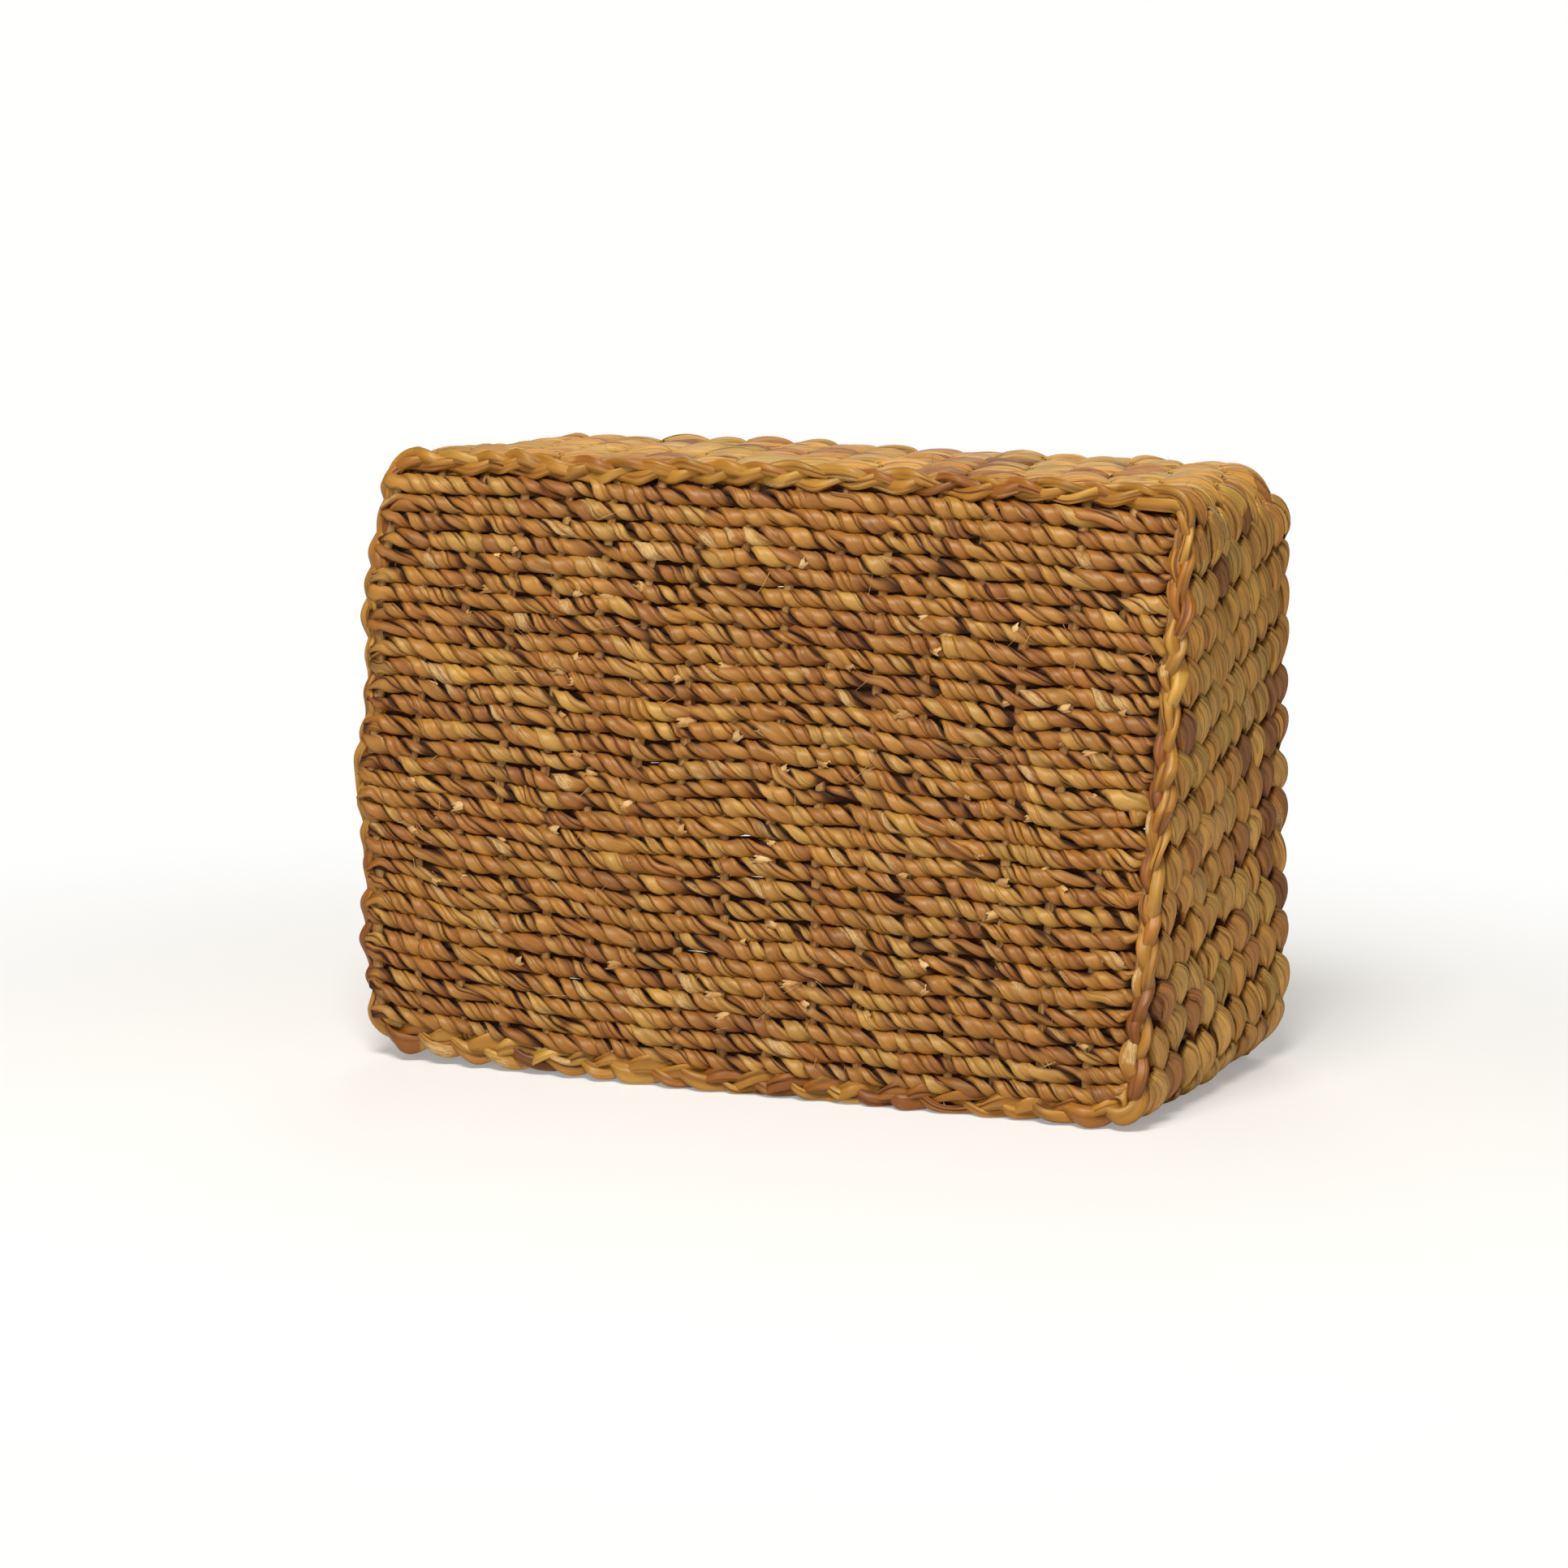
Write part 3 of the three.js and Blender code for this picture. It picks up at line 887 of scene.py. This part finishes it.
def base_row(index, name):
    """Three leaves and their filling, along the basket from one end wall to the other."""
    low, high = upright_box(name)
    middle = (low.y + high.y) / 2 * ROW_SPREAD
    level = (low.z + high.z) / 2
    pitch = high.y - low.y
    rng = np.random.default_rng([ROW_SEED, index])
    left = low.x - ROW_OVERLAP_LEFT
    right = high.x + ROW_OVERLAP_RIGHT
    run = np.arange(left, right, ROW_RING_STEP)
    share = (run - left) / (right - left)
    knots = int((right - left) / ROW_KNOT)

    def wander(kind, count):
        return drift(rng, count, ROW_DRIFT[kind])(share)

    shared_sway = drift(rng, HOOP_COUNT, ROW_WANDER)(share) + field_sway(run, middle)
    shared_twist = rng.uniform(-ROW_SLIP, ROW_SLIP) + wander("twist", knots // 2)
    nearest = np.interp(run, np.sort(hoop_places), np.arange(HOOP_COUNT))
    past = np.abs(run[:, None] - hoop_places).min(1)
    waist = ROW_WAIST * (1 + wander("waist", HOOP_COUNT))
    waist = waist * np.exp(-((past / ROW_WAIST_REACH) ** 2))
    size = 1 + wander("size", knots // 3)
    left_end = smooth((run - left) / ROW_END)
    right_end = smooth((right - run) / ROW_END)
    edge = left_end * right_end
    partner_right = 1 if index % 2 == 0 else -1
    partner = np.where(run > 0, partner_right, -partner_right)
    core = middle + shared_sway + partner * (1 - edge) * pitch * ROW_END_LEAN
    dive = ROW_DIVE_LEFT * (1 - left_end) + ROW_DIVE_RIGHT * (1 - right_end)
    slim = 1 - ROW_END_SLIM + ROW_END_SLIM * edge
    shells = []
    for place in range(ROW_LEAVES):
        turns = nearest / ROW_TURN_STAKES + place / ROW_LEAVES
        turns = turns + shared_twist + wander("turn", knots)
        own = 1 + wander("own", knots)
        apart = 1 + wander("apart", knots)
        angle = 2 * math.pi * turns
        height = core + ROW_SWAY * size * apart * slim * (1 - waist) * np.sin(angle)
        out = ROW_OUT * size * apart * slim * np.cos(angle)
        width = ROW_WIDTH * size * own * slim * (1 + ROW_BELLY * np.cos(angle))
        depth = ROW_DEPTH * size * (1 - ROW_DEPTH_SHARE + ROW_DEPTH_SHARE * own) * slim
        swing = ROW_SLOPE * np.cos(angle)
        leaf = Strand(
            rng, run, height, out, width, depth, swing, ROW_LIFT - angle,
            ROW_SIDES, ROW_FOLDS, False, shows=turns + 0.5, core=core,
        )
        shells.append(leaf)
    even = np.ones(len(run))
    filling_width = ROW_FILLING_WIDTH * (1 + wander("filling", HOOP_COUNT * 2))
    filling = Strand(
        rng, run, core, ROW_FILLING_OUT * even, filling_width, ROW_FILLING_DEPTH * even,
        0 * even, 0 * even, ROW_FILLING_SIDES, ROW_FOLDS, False, shows=share,
    )
    filling.tone[..., 2] = 1  # painted shade: all of it is coloured as if it lay in full shade
    shells.append(filling)
    for leaf in shells:
        x, y, drop = leaf.points[..., 0], leaf.points[..., 1], leaf.points[..., 2]
        leaf.upright = np.stack([x, y, level - drop + dive[:, None]], -1)
    leaf_piece("woven_" + name, shells, base_leaf, [name])


# Foot rope: a three strand plait laid round the foot
rope_low, rope_high = upright_box("foot_rope")
ROPE_HEIGHT = rope_high.z - rope_low.z
ROPE_SEED = 31
ROPE_STRANDS = 3
ROPE_INSET = 6.0
ROPE_LEVEL = 5.4
ROPE_SWAY = 2.9
ROPE_DEPTH_SWAY = 2.3
# Shares of its way round: the middle of a side, how far it reaches and where it eases off
ROPE_LEFT_SIDE = (0.5, 0.2, 0.125)
ROPE_FLOOR_SIDE = (0.25, 0.19, 0.04)
ROPE_LEFT_SET_BACK = 3.5  # into the wall, along the left wall
ROPE_LEFT_OUT = 1.0
ROPE_FLOOR_SET_BACK = 2.4
ROPE_FLOOR_SWAY = 0.4  # how much looser and broader the plait is along the floor
ROPE_FLOOR_WIDTH = 0.35
PLAIT_RUN = 54
ROPE_RING_STEP = 1.5
ROPE_SIDES = 18
ROPE_WIDTH = 3.2
ROPE_DEPTH = 2.3
ROPE_SWING = -0.35
ROPE_KNOTS = 60
ROPE_TURN_DRIFT = 0.035
ROPE_LEVEL_DRIFT = 0.75
ROPE_OUT_DRIFT = 1.0
ROPE_SIZE_DRIFT = 0.22
ROPE_TILT_DRIFT = 0.25
ROPE_SHOWS_FROM = 0.25  # a strand comes to the front so far into half a turn
ROPE_FOLDS = dict(ROW_FOLDS, count=4, crowding=0.3, buried=-9)  # it lies open all round, so it gets no painted shade from depth


def along_side(share, middle, reach, ease):
    """1 where the rope lies along a side, easing to 0 at its ends."""
    return smooth((reach - np.abs(share - middle)) / ease)


def foot_rope():
    """The plait round the foot, set back where the left wall bows and broader along the floor."""
    rng = np.random.default_rng([ROPE_SEED])
    length = 4 * QUARTER
    rings = int(length / ROPE_RING_STEP)
    share = np.arange(rings) / rings
    plaits = round(length / PLAIT_RUN)
    shells = []
    left = along_side(share, *ROPE_LEFT_SIDE)
    floor_side = along_side(share, *ROPE_FLOOR_SIDE)
    sway = ROPE_SWAY * (1 + ROPE_FLOOR_SWAY * floor_side)
    middle = WALL_MIDDLE - ROPE_INSET + ROPE_LEFT_OUT * left - ROPE_FLOOR_SET_BACK * floor_side
    for strand in range(ROPE_STRANDS):
        turns = plaits * share + strand / ROPE_STRANDS
        turns += drift(rng, 2 * plaits, ROPE_TURN_DRIFT, True)(share)
        angle = 2 * math.pi * turns
        level = ROPE_LEVEL + ROPE_DEPTH_SWAY * np.sin(2 * angle) + ROPE_LEFT_SET_BACK * left
        level += drift(rng, ROPE_KNOTS, ROPE_LEVEL_DRIFT, True)(share)
        out = middle + sway * np.sin(angle)
        out += drift(rng, ROPE_KNOTS, ROPE_OUT_DRIFT, True)(share)
        size = 1 + drift(rng, 3 * plaits, ROPE_SIZE_DRIFT, True)(share)
        width = ROPE_WIDTH * size * (1 + ROPE_FLOOR_WIDTH * floor_side)
        depth = ROPE_DEPTH * size
        swing = ROPE_SWING * np.cos(angle)
        tilt = drift(rng, plaits, ROPE_TILT_DRIFT, True)(share)
        leaf = Strand(
            rng, length * share, out, ROPE_HEIGHT - level, width, depth, swing, tilt,
            ROPE_SIDES, ROPE_FOLDS, True, shows=2 * turns - ROPE_SHOWS_FROM,
        )
        run, across, drop = leaf.points[..., 0], leaf.points[..., 1], leaf.points[..., 2]
        leaf.upright = on_wall(run, ROPE_HEIGHT - drop, across)
        shells.append(leaf)
    leaf_piece("plaited_foot_rope", shells, rope_leaf, ["foot_rope"])


# Stakes: reeds that pass under the base and up both long walls, folded over at the rim
PAIR_SEED = 41
END_SEED = 43
STAKE_WIDE = 2.8
STAKE_DEEP = 2.1
STAKE_SIDES = 10
STAKE_STEP = 4
STAKE_KNOTS = 30
STAKE_DRIFT = 0.08
STAKE_TONES = 9
FLATTENING = 8  # height over which a stake goes from flat to round
REED_FOLDS = dict(ROW_FOLDS, count=4, square=1.0, dent=0.12, lap=0.08, girth=2)


class Reed:
    """A stake swept along an upright path, flattened where it lies in the base."""

    closed = False

    def __init__(self, rng, path, wide):
        step = np.linalg.norm(np.diff(path, axis=0), axis=1)
        length = np.concatenate([[0], np.cumsum(step)])
        tangent = np.gradient(path, axis=0)
        tangent /= np.linalg.norm(tangent, axis=1)[:, None]
        side = np.zeros(path.shape)
        side[0] = wide
        for index in range(1, len(path)):
            across = side[index - 1]
            across = across - tangent[index] * across.dot(tangent[index])
            side[index] = across / np.linalg.norm(across)
        other = np.cross(tangent, side)
        share = length / length[-1]
        flat = smooth((self.BASE_TOP - path[:, 2]) / FLATTENING)
        half_wide = STAKE_DIAMETER / 2 + (STAKE_WIDE - STAKE_DIAMETER / 2) * flat
        half_wide = half_wide * (1 + drift(rng, STAKE_KNOTS, STAKE_DRIFT)(share))
        half_deep = STAKE_DIAMETER / 2 + (STAKE_DEEP - STAKE_DIAMETER / 2) * flat
        even = np.broadcast_to(np.arange(STAKE_SIDES) / STAKE_SIDES, (len(path), STAKE_SIDES))
        creases, lap, sector = Strand.folded(rng, share, even, length[-1], REED_FOLDS, False)
        swell = 1 + REED_FOLDS["lap"] * (0.5 - lap) - REED_FOLDS["dent"] * creases
        angle = 2 * math.pi * even
        across = (half_wide[:, None] * np.cos(angle) * swell)[..., None]
        deep = (half_deep[:, None] * np.sin(angle) * swell)[..., None]
        self.upright = path[:, None, :] + across * side[:, None, :] + deep * other[:, None, :]
        self.points = self.upright
        girth = REED_FOLDS["girth"]
        offset = rng.integers(1, Strand.SEAM) * Strand.SEAM
        run = np.broadcast_to(length[:, None] + offset, angle.shape)
        self.grain = np.stack([run, girth * np.cos(angle) + offset, girth * np.sin(angle)], -1)
        # its creases give the painted shade in its colour
        self.tone = Strand.toned(
            rng, share, sector, creases, length[-1], REED_FOLDS, share * STAKE_TONES
        )


BEND_RADIUS = 10
BEND_STEPS = 6
ARCH_STEPS = 9
RIM_COVER = 2.0
REED_TOP = HEIGHT - RIM_COVER - STAKE_DIAMETER / 2
row_low, row_high = upright_box(ROW_NAMES[0])
BASE_LEVEL = (row_low.z + row_high.z) / 2
Reed.BASE_TOP = BASE_LEVEL + BEND_RADIUS


def line(start, end, step):
    """Points from start on, about a step apart, without the end itself."""
    count = max(int(np.linalg.norm(np.subtract(end, start)) / step), 2)
    return np.linspace(start, end, count, endpoint=False)


def hoop(place, side):
    """A stake from the rim of one long wall, under the base, to the rim of the other."""
    runs = {1: QUARTER - place, -1: 3 * QUARTER + place}
    heights = np.arange(Reed.BASE_TOP, REED_TOP - HOOP_PITCH / 2, STAKE_STEP)
    points = []
    for wall in (side, -side):
        run = np.full(len(heights), float(runs[wall]))
        upright = on_wall(run, heights, np.zeros(len(heights)))
        foot = upright[0]
        inward = np.array([0, -wall, 0])
        angles = np.linspace(0, math.pi / 2, BEND_STEPS)[1:]
        bend = [
            foot
            + inward * BEND_RADIUS * (1 - math.cos(angle))
            - np.array([0, 0, BEND_RADIUS * math.sin(angle)])
            for angle in angles
        ]
        leg = np.concatenate([upright[::-1], bend])
        points.append(leg if wall == side else leg[::-1])
    across = line(points[0][-1], points[1][0], STAKE_STEP)[1:]
    return np.concatenate([points[0], across, points[1]])


def arched(start, end, way):
    """A half round fold between two stakes of one wall."""
    middle = (start + end) / 2
    radius = (end - start) / 2
    height = np.array([0, 0, way * np.linalg.norm(radius)])
    angles = np.linspace(0, math.pi, ARCH_STEPS)[1:-1]
    return np.array([middle - radius * math.cos(a) + height * math.sin(a) for a in angles])


def stake_pair(index):
    """Two neighbouring hoops, one reed folded over at the rim."""
    side = 1 if index % 2 else -1
    first = hoop(hoop_places[2 * index], -side)
    second = hoop(hoop_places[2 * index + 1], side)
    path = np.concatenate([first, arched(first[-1], second[0], 1), second])
    rng = np.random.default_rng([PAIR_SEED, index])
    reed = Reed(rng, path, np.array([1, 0, 0]))
    name = f"stake_pair_{index + 1:02d}"
    leaf_piece("reed_" + name, [reed], reed_leaf, [name])


def end_stakes(side):
    """The uprights of one short wall, a single reed folded to and fro."""
    foot = ROPE_HEIGHT + STAKE_DIAMETER / 2 + END_PITCH / 2
    rim = REED_TOP - END_PITCH / 2
    middle = 0 if side > 0 else 2 * QUARTER
    heights = np.arange(foot, rim, STAKE_STEP)
    path = []
    for index, place in enumerate(end_places):
        run = np.full(len(heights), middle + place)
        upright = on_wall(run, heights, np.zeros(len(heights)))
        leg = upright[::-1] if index % 2 == 0 else upright
        if path:
            path.append(arched(path[-1][-1], leg[0], 1 if index % 2 == 0 else -1))
        path.append(leg)
    rng = np.random.default_rng([END_SEED, int(side > 0)])
    reed = Reed(rng, np.concatenate(path), np.array([0, 1, 0]))
    name = "end_stakes_right" if side > 0 else "end_stakes_left"
    leaf_piece("reed_" + name, [reed], reed_leaf, [name])


for index, name in enumerate(COURSE_NAMES):
    wall_course(index, name)
for index, name in enumerate(ROW_NAMES):
    base_row(index, name)
foot_rope()
for index in range(HOOP_COUNT // 2):
    stake_pair(index)
for side in (1, -1):
    end_stakes(side)

# Cut ends of leaf and stray fibres, each modelled once and copied
CUT_LENGTH = 9
CUT_WIDTH = 4.2
CUT_THICKNESS = 0.22
CUT_TEETH = (-1.6, 1.1, -2.2, 0.4, -0.7, 1.8, -1.0)  # how far each corner of a torn end stands out
CUT_STEPS = (6, len(CUT_TEETH) - 1)
CUT_ROLL = 0.5  # how far its edges are rolled under, in each of three steps
CUT_ROLL_STARTS = (0.5, 1.5, 2.5)  # in lines away from its middle
CUT_ARCH = 0.8
CUT_ARCH_REACH = 1.5  # in columns to either side of its middle
CUT_COUNT = 84
CUT_OUT = 1.4
CUT_BESIDE_STAKE = 8
CUT_OFF_ROW = 2
CUT_SWING = 0.8  # how far it may point away from the rows' direction
CUT_LIFT = (0.3, 0.75)
CUT_SIZE = (0.6, 1.1)
FIBRE_RADIUS = 0.17
FIBRE_STEP = 2.4
FIBRE_STEPS = 4
FIBRE_BEND = 0.35
FIBRE_TAPER = 0.8
ANY_WAY = (0, 2 * math.pi)
BASE_FIBRES = 100
BASE_FIBRE_FIELD = 0.46  # of the base's length and width, to either side of its middle
BASE_FIBRE_OUT = 3.4
BASE_FIBRE_LIFT = (0.05, 0.8)
BASE_FIBRE_SIZE = (0.6, 1.4)
WALL_FIBRES = 44
WALL_FIBRE_LEVELS = (12, HEIGHT - 8)
WALL_FIBRE_OUT = 5.0
WALL_FIBRE_LIFT = (0.05, 0.7)
WALL_FIBRE_SIZE = (0.6, 1.3)
END_REACH = 16  # no loose end starts within this of the floor it points at
LOOSE_SEED = 61


def pressed(piece, chosen, move):
    """Moves the corners of a piece whose place is chosen, in edit mode."""
    for corner in piece.data.vertices:
        corner.select = bool(chosen(corner.co / MM))
    bpy.ops.object.mode_set(mode="EDIT")
    bpy.ops.transform.translate(value=Vector(move) * MM)
    bpy.ops.mesh.select_all(action="DESELECT")
    bpy.ops.object.mode_set(mode="OBJECT")


def cut_end():
    """A torn end of leaf: rolled under along its edges, arched, and toothed at its tip."""
    bpy.ops.object.select_all(action="DESELECT")
    columns, lines = CUT_STEPS
    bpy.ops.mesh.primitive_grid_add(x_subdivisions=columns, y_subdivisions=lines, size=1)
    piece = bpy.context.active_object
    bpy.ops.object.mode_set(mode="EDIT")
    bpy.ops.transform.resize(value=(CUT_LENGTH * MM, CUT_WIDTH * MM, 1))
    bpy.ops.transform.translate(value=(CUT_LENGTH * MM / 2, 0, 0))
    bpy.ops.mesh.select_all(action="DESELECT")
    bpy.ops.object.mode_set(mode="OBJECT")
    column = CUT_LENGTH / columns
    line_apart = CUT_WIDTH / lines
    tip = CUT_LENGTH - column / 2
    arch = CUT_ARCH_REACH * column
    for index, tooth in enumerate(CUT_TEETH):
        level = index * line_apart - CUT_WIDTH / 2
        pressed(
            piece,
            lambda place: place.x > tip and abs(place.y - level) < line_apart / 4,
            (tooth, 0, tooth / 2),
        )
    for start in CUT_ROLL_STARTS:
        pressed(piece, lambda place: abs(place.y) > start * line_apart, (0, 0, -CUT_ROLL))
    pressed(piece, lambda place: abs(place.x - CUT_LENGTH / 2) < arch, (0, 0, CUT_ARCH))
    plate = piece.modifiers.new("thickness", "SOLIDIFY")
    plate.thickness = CUT_THICKNESS * MM
    plate.offset = 0
    bpy.ops.object.modifier_apply(modifier=plate.name)
    bpy.ops.object.shade_smooth()
    return piece


def fibre():
    """A stray fibre that bends over and thins towards its tip."""
    bpy.ops.object.select_all(action="DESELECT")
    bpy.ops.mesh.primitive_circle_add(vertices=4, radius=FIBRE_RADIUS * MM, fill_type="NGON")
    piece = bpy.context.active_object
    bpy.ops.object.mode_set(mode="EDIT")
    for step in range(FIBRE_STEPS):
        move = Vector((0, step * FIBRE_BEND, FIBRE_STEP)) * MM
        bpy.ops.mesh.extrude_region_move(TRANSFORM_OT_translate={"value": move})
        bpy.ops.transform.resize(value=(FIBRE_TAPER, FIBRE_TAPER, 1))
    bpy.ops.mesh.select_all(action="SELECT")
    bpy.ops.mesh.normals_make_consistent(inside=False)
    bpy.ops.mesh.select_all(action="DESELECT")
    bpy.ops.object.mode_set(mode="OBJECT")
    bpy.ops.object.shade_smooth()
    return piece


def on_base(x, y, out):
    """An upright point under the base, out from its rows' middle."""
    return np.array([x, y, BASE_LEVEL - out])


def beside_wall(run, height, out):
    """One upright point on a wall."""
    return on_wall(np.array(run), np.array(height), np.array(out))


def loose(rng, surface, place, swing, lift, size):
    """Where a loose end starts, the way it points, the way it faces and its size."""
    first, second, out = place
    corners = np.array([
        surface(first, second, out),
        surface(first + 1, second, out),
        surface(first, second + 1, out),
        surface(first, second, out + 1),
    ])
    origin, *steps = laid(corners)
    along, over, away = (Vector(step - origin).normalized() for step in steps)
    swing = rng.uniform(*swing)
    lift = rng.uniform(*lift)
    level = along * math.cos(swing) + over * math.sin(swing)
    way = level * math.cos(lift) + away * math.sin(lift)
    return Vector(origin), way.normalized(), away, rng.uniform(*size)


def spread(name, model, ends, upright, material):
    """Copies of a model at the loose ends, joined as one piece."""
    bpy.ops.object.select_all(action="DESELECT")
    for place, way, facing, size in ends:
        if (place + way * END_REACH * MM).z < 0:
            continue
        copy = model.copy()
        copy.data = model.data.copy()
        bpy.context.scene.collection.objects.link(copy)
        side = facing.cross(way).normalized()
        over = way.cross(side)
        axes = (side, over, way) if upright else (way, side, over)
        copy.matrix_world = (
            Matrix.Translation(place) @ Matrix(axes).transposed().to_4x4() @ Matrix.Scale(size, 4)
        )
        copy.select_set(True)
    bpy.data.objects.remove(model)
    bpy.context.view_layer.objects.active = copy
    bpy.context.view_layer.update()
    bpy.ops.object.join()
    bpy.ops.object.transform_apply(location=True, rotation=True, scale=True)
    copy.name = name
    copy.data.materials.append(material)
    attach(copy, "root")


# Dried straw, from brown to pale, in clouds and streaks
STRAW_STOPS = [
    (0.3, painted(132, 86, 40)),
    (0.5, painted(184, 140, 80)),
    (0.7, painted(216, 186, 132)),
]
STRAW_CLOUD_SCALE, STRAW_STREAK_SCALE = 0.09, 0.9
STRAW_CLOUD_SHARE, STRAW_STREAK_SHARE = 0.7, 0.3
STRAW_ROUGHNESS = 0.75

straw = Finish("straw_ends")
spot = straw.stretched(straw.node("ShaderNodeTexCoord", output="Object"), (1 / MM, 1 / MM, 1 / MM))
cloudy = straw.noise(spot, STRAW_CLOUD_SCALE, 2)
streaky = straw.noise(spot, STRAW_STREAK_SCALE, 3)
straw_tone = cloudy * STRAW_CLOUD_SHARE + streaky * STRAW_STREAK_SHARE
straw_colour = straw.node("ShaderNodeValToRGB", {"stops": STRAW_STOPS}, {0: straw_tone})
straw.feed(straw.shader.inputs["Base Color"], straw_colour)
straw.shader.inputs["Roughness"].default_value = STRAW_ROUGHNESS

rng = np.random.default_rng(LOOSE_SEED)
cuts = []
for _ in range(CUT_COUNT):
    stake = rng.choice(hoop_places[1:-1]) + rng.uniform(-CUT_BESIDE_STAKE, CUT_BESIDE_STAKE)
    row = (rng.integers(1, len(ROW_NAMES) - 1) + 0.5) / len(ROW_NAMES) - 0.5
    height = row * (WIDTH - 2 * CORNER_RADIUS) + rng.uniform(-CUT_OFF_ROW, CUT_OFF_ROW)
    turned = rng.choice([0, math.pi])
    swing = (turned - CUT_SWING, turned + CUT_SWING)
    cuts.append(loose(rng, on_base, (stake, height, CUT_OUT), swing, CUT_LIFT, CUT_SIZE))
spread("cut_leaf_ends", cut_end(), cuts, False, straw.material)
hairs = []
for _ in range(BASE_FIBRES):
    x, y = rng.uniform(-BASE_FIBRE_FIELD, BASE_FIBRE_FIELD, 2) * (LENGTH, WIDTH)
    start = (x, y, BASE_FIBRE_OUT)
    hairs.append(loose(rng, on_base, start, ANY_WAY, BASE_FIBRE_LIFT, BASE_FIBRE_SIZE))
for _ in range(WALL_FIBRES):
    start = (rng.uniform(0, 4 * QUARTER), rng.uniform(*WALL_FIBRE_LEVELS), WALL_FIBRE_OUT)
    hairs.append(loose(rng, beside_wall, start, ANY_WAY, WALL_FIBRE_LIFT, WALL_FIBRE_SIZE))
spread("stray_fibres", fibre(), hairs, True, straw.material)

# Camera, at the photograph's viewing angle
IMAGE_SIZE = 1932
SENSOR_WIDTH = 36
FOCAL_PIXELS = 5000
CAMERA_PLACE = Vector((647, -1916.5, 433)) * MM
CAMERA_YAW = math.radians(19.19)
CAMERA_PITCH = math.radians(8.22)
CAMERA_ROLL = math.radians(1.0)

camera_data = bpy.data.cameras.new("studio_camera")
camera_data.sensor_width = SENSOR_WIDTH
camera_data.lens = FOCAL_PIXELS / IMAGE_SIZE * SENSOR_WIDTH
camera = bpy.data.objects.new("studio_camera", camera_data)
bpy.context.scene.collection.objects.link(camera)
bpy.context.scene.camera = camera
forward = Vector(
    (
        -math.sin(CAMERA_YAW) * math.cos(CAMERA_PITCH),
        math.cos(CAMERA_YAW) * math.cos(CAMERA_PITCH),
        -math.sin(CAMERA_PITCH),
    )
)
level_right = Vector((math.cos(CAMERA_YAW), math.sin(CAMERA_YAW), 0))
level_up = level_right.cross(forward)
right = level_right * math.cos(CAMERA_ROLL) + level_up * math.sin(CAMERA_ROLL)
up = level_up * math.cos(CAMERA_ROLL) - level_right * math.sin(CAMERA_ROLL)
rotation = Matrix((right, up, -forward)).transposed()
camera.matrix_world = Matrix.Translation(CAMERA_PLACE) @ rotation.to_4x4()

# Floor and light. The floor keeps the shadow, and goes over into white away from the basket
FLOOR_SIZE = 12
FLOOR_PAINT = painted(241, 238, 232)
FLOOR_ROUGHNESS = 0.9
FLOOR_FADE = (0.24, 0.8)
FLOOR_WHITE_NEAR = 0.3
FLOOR_WHITE_FAR = 0.7  # added to it
STUDIO_WHITE = painted(255, 255, 254)
SKY_TINT = (1, 0.9, 0.76, 1)
SKY_STRENGTH = 0.2
bpy.ops.mesh.primitive_plane_add(size=FLOOR_SIZE, location=(0, 0, 0))
floor = bpy.context.active_object
floor.name = "studio_floor"
floor_finish = Finish("studio_floor")
place = floor_finish.node("ShaderNodeTexCoord", output="Object")
distance = floor_finish.node("ShaderNodeVectorMath", {"operation": "LENGTH"}, {0: place}, "Value")
far = floor_finish.clamped(distance, *FLOOR_FADE)
seen = floor_finish.node("ShaderNodeLightPath", output="Is Camera Ray")
floor_finish.shader.inputs["Base Color"].default_value = FLOOR_PAINT
floor_finish.shader.inputs["Roughness"].default_value = FLOOR_ROUGHNESS
white = floor_finish.node("ShaderNodeEmission", inputs={"Color": STUDIO_WHITE, "Strength": 1.0})
paint = Term(floor_finish, floor_finish.shader.outputs[0])
whiteness = (FLOOR_WHITE_NEAR + far * FLOOR_WHITE_FAR) * seen
shown = floor_finish.node("ShaderNodeMixShader", inputs={0: whiteness, 1: paint, 2: white})
output = floor_finish.tree.nodes["Material Output"]
floor_finish.feed(output.inputs["Surface"], shown)
floor.data.materials.append(floor_finish.material)

world = bpy.data.worlds.new("studio")
bpy.context.scene.world = world
world.use_nodes = True
nodes, links = world.node_tree.nodes, world.node_tree.links
sky = nodes["Background"]
sky.inputs["Color"].default_value = SKY_TINT
sky.inputs["Strength"].default_value = SKY_STRENGTH
backdrop = nodes.new("ShaderNodeBackground")
backdrop.inputs["Color"].default_value = STUDIO_WHITE
paths = nodes.new("ShaderNodeLightPath")
chosen = nodes.new("ShaderNodeMixShader")
links.new(paths.outputs["Is Camera Ray"], chosen.inputs[0])
links.new(sky.outputs[0], chosen.inputs[1])
links.new(backdrop.outputs[0], chosen.inputs[2])
links.new(chosen.outputs[0], nodes["World Output"].inputs["Surface"])


def lamp(name, place, target, size, power):
    """A soft round lamp at a place, pointing at its target: metres and watts."""
    light = bpy.data.lights.new(name, "AREA")
    light.shape = "DISK"
    light.size = size
    light.energy = power
    lit = bpy.data.objects.new(name, light)
    bpy.context.scene.collection.objects.link(lit)
    lit.location = place
    lit.rotation_euler = (Vector(target) - Vector(place)).to_track_quat("-Z", "Y").to_euler()


lamp("key_light", (0.2, -1.55, 2.0), (0, 0, 0.15), 1.0, 66)
lamp("low_light", (0.1, -3.0, 0.9), (0, 0, 0.15), 0.9, 12)
lamp("back_light", (-0.5, 2.2, 1.3), (0, 0, 0.2), 1.6, 16)

bpy.context.scene.view_settings.view_transform = "Standard"
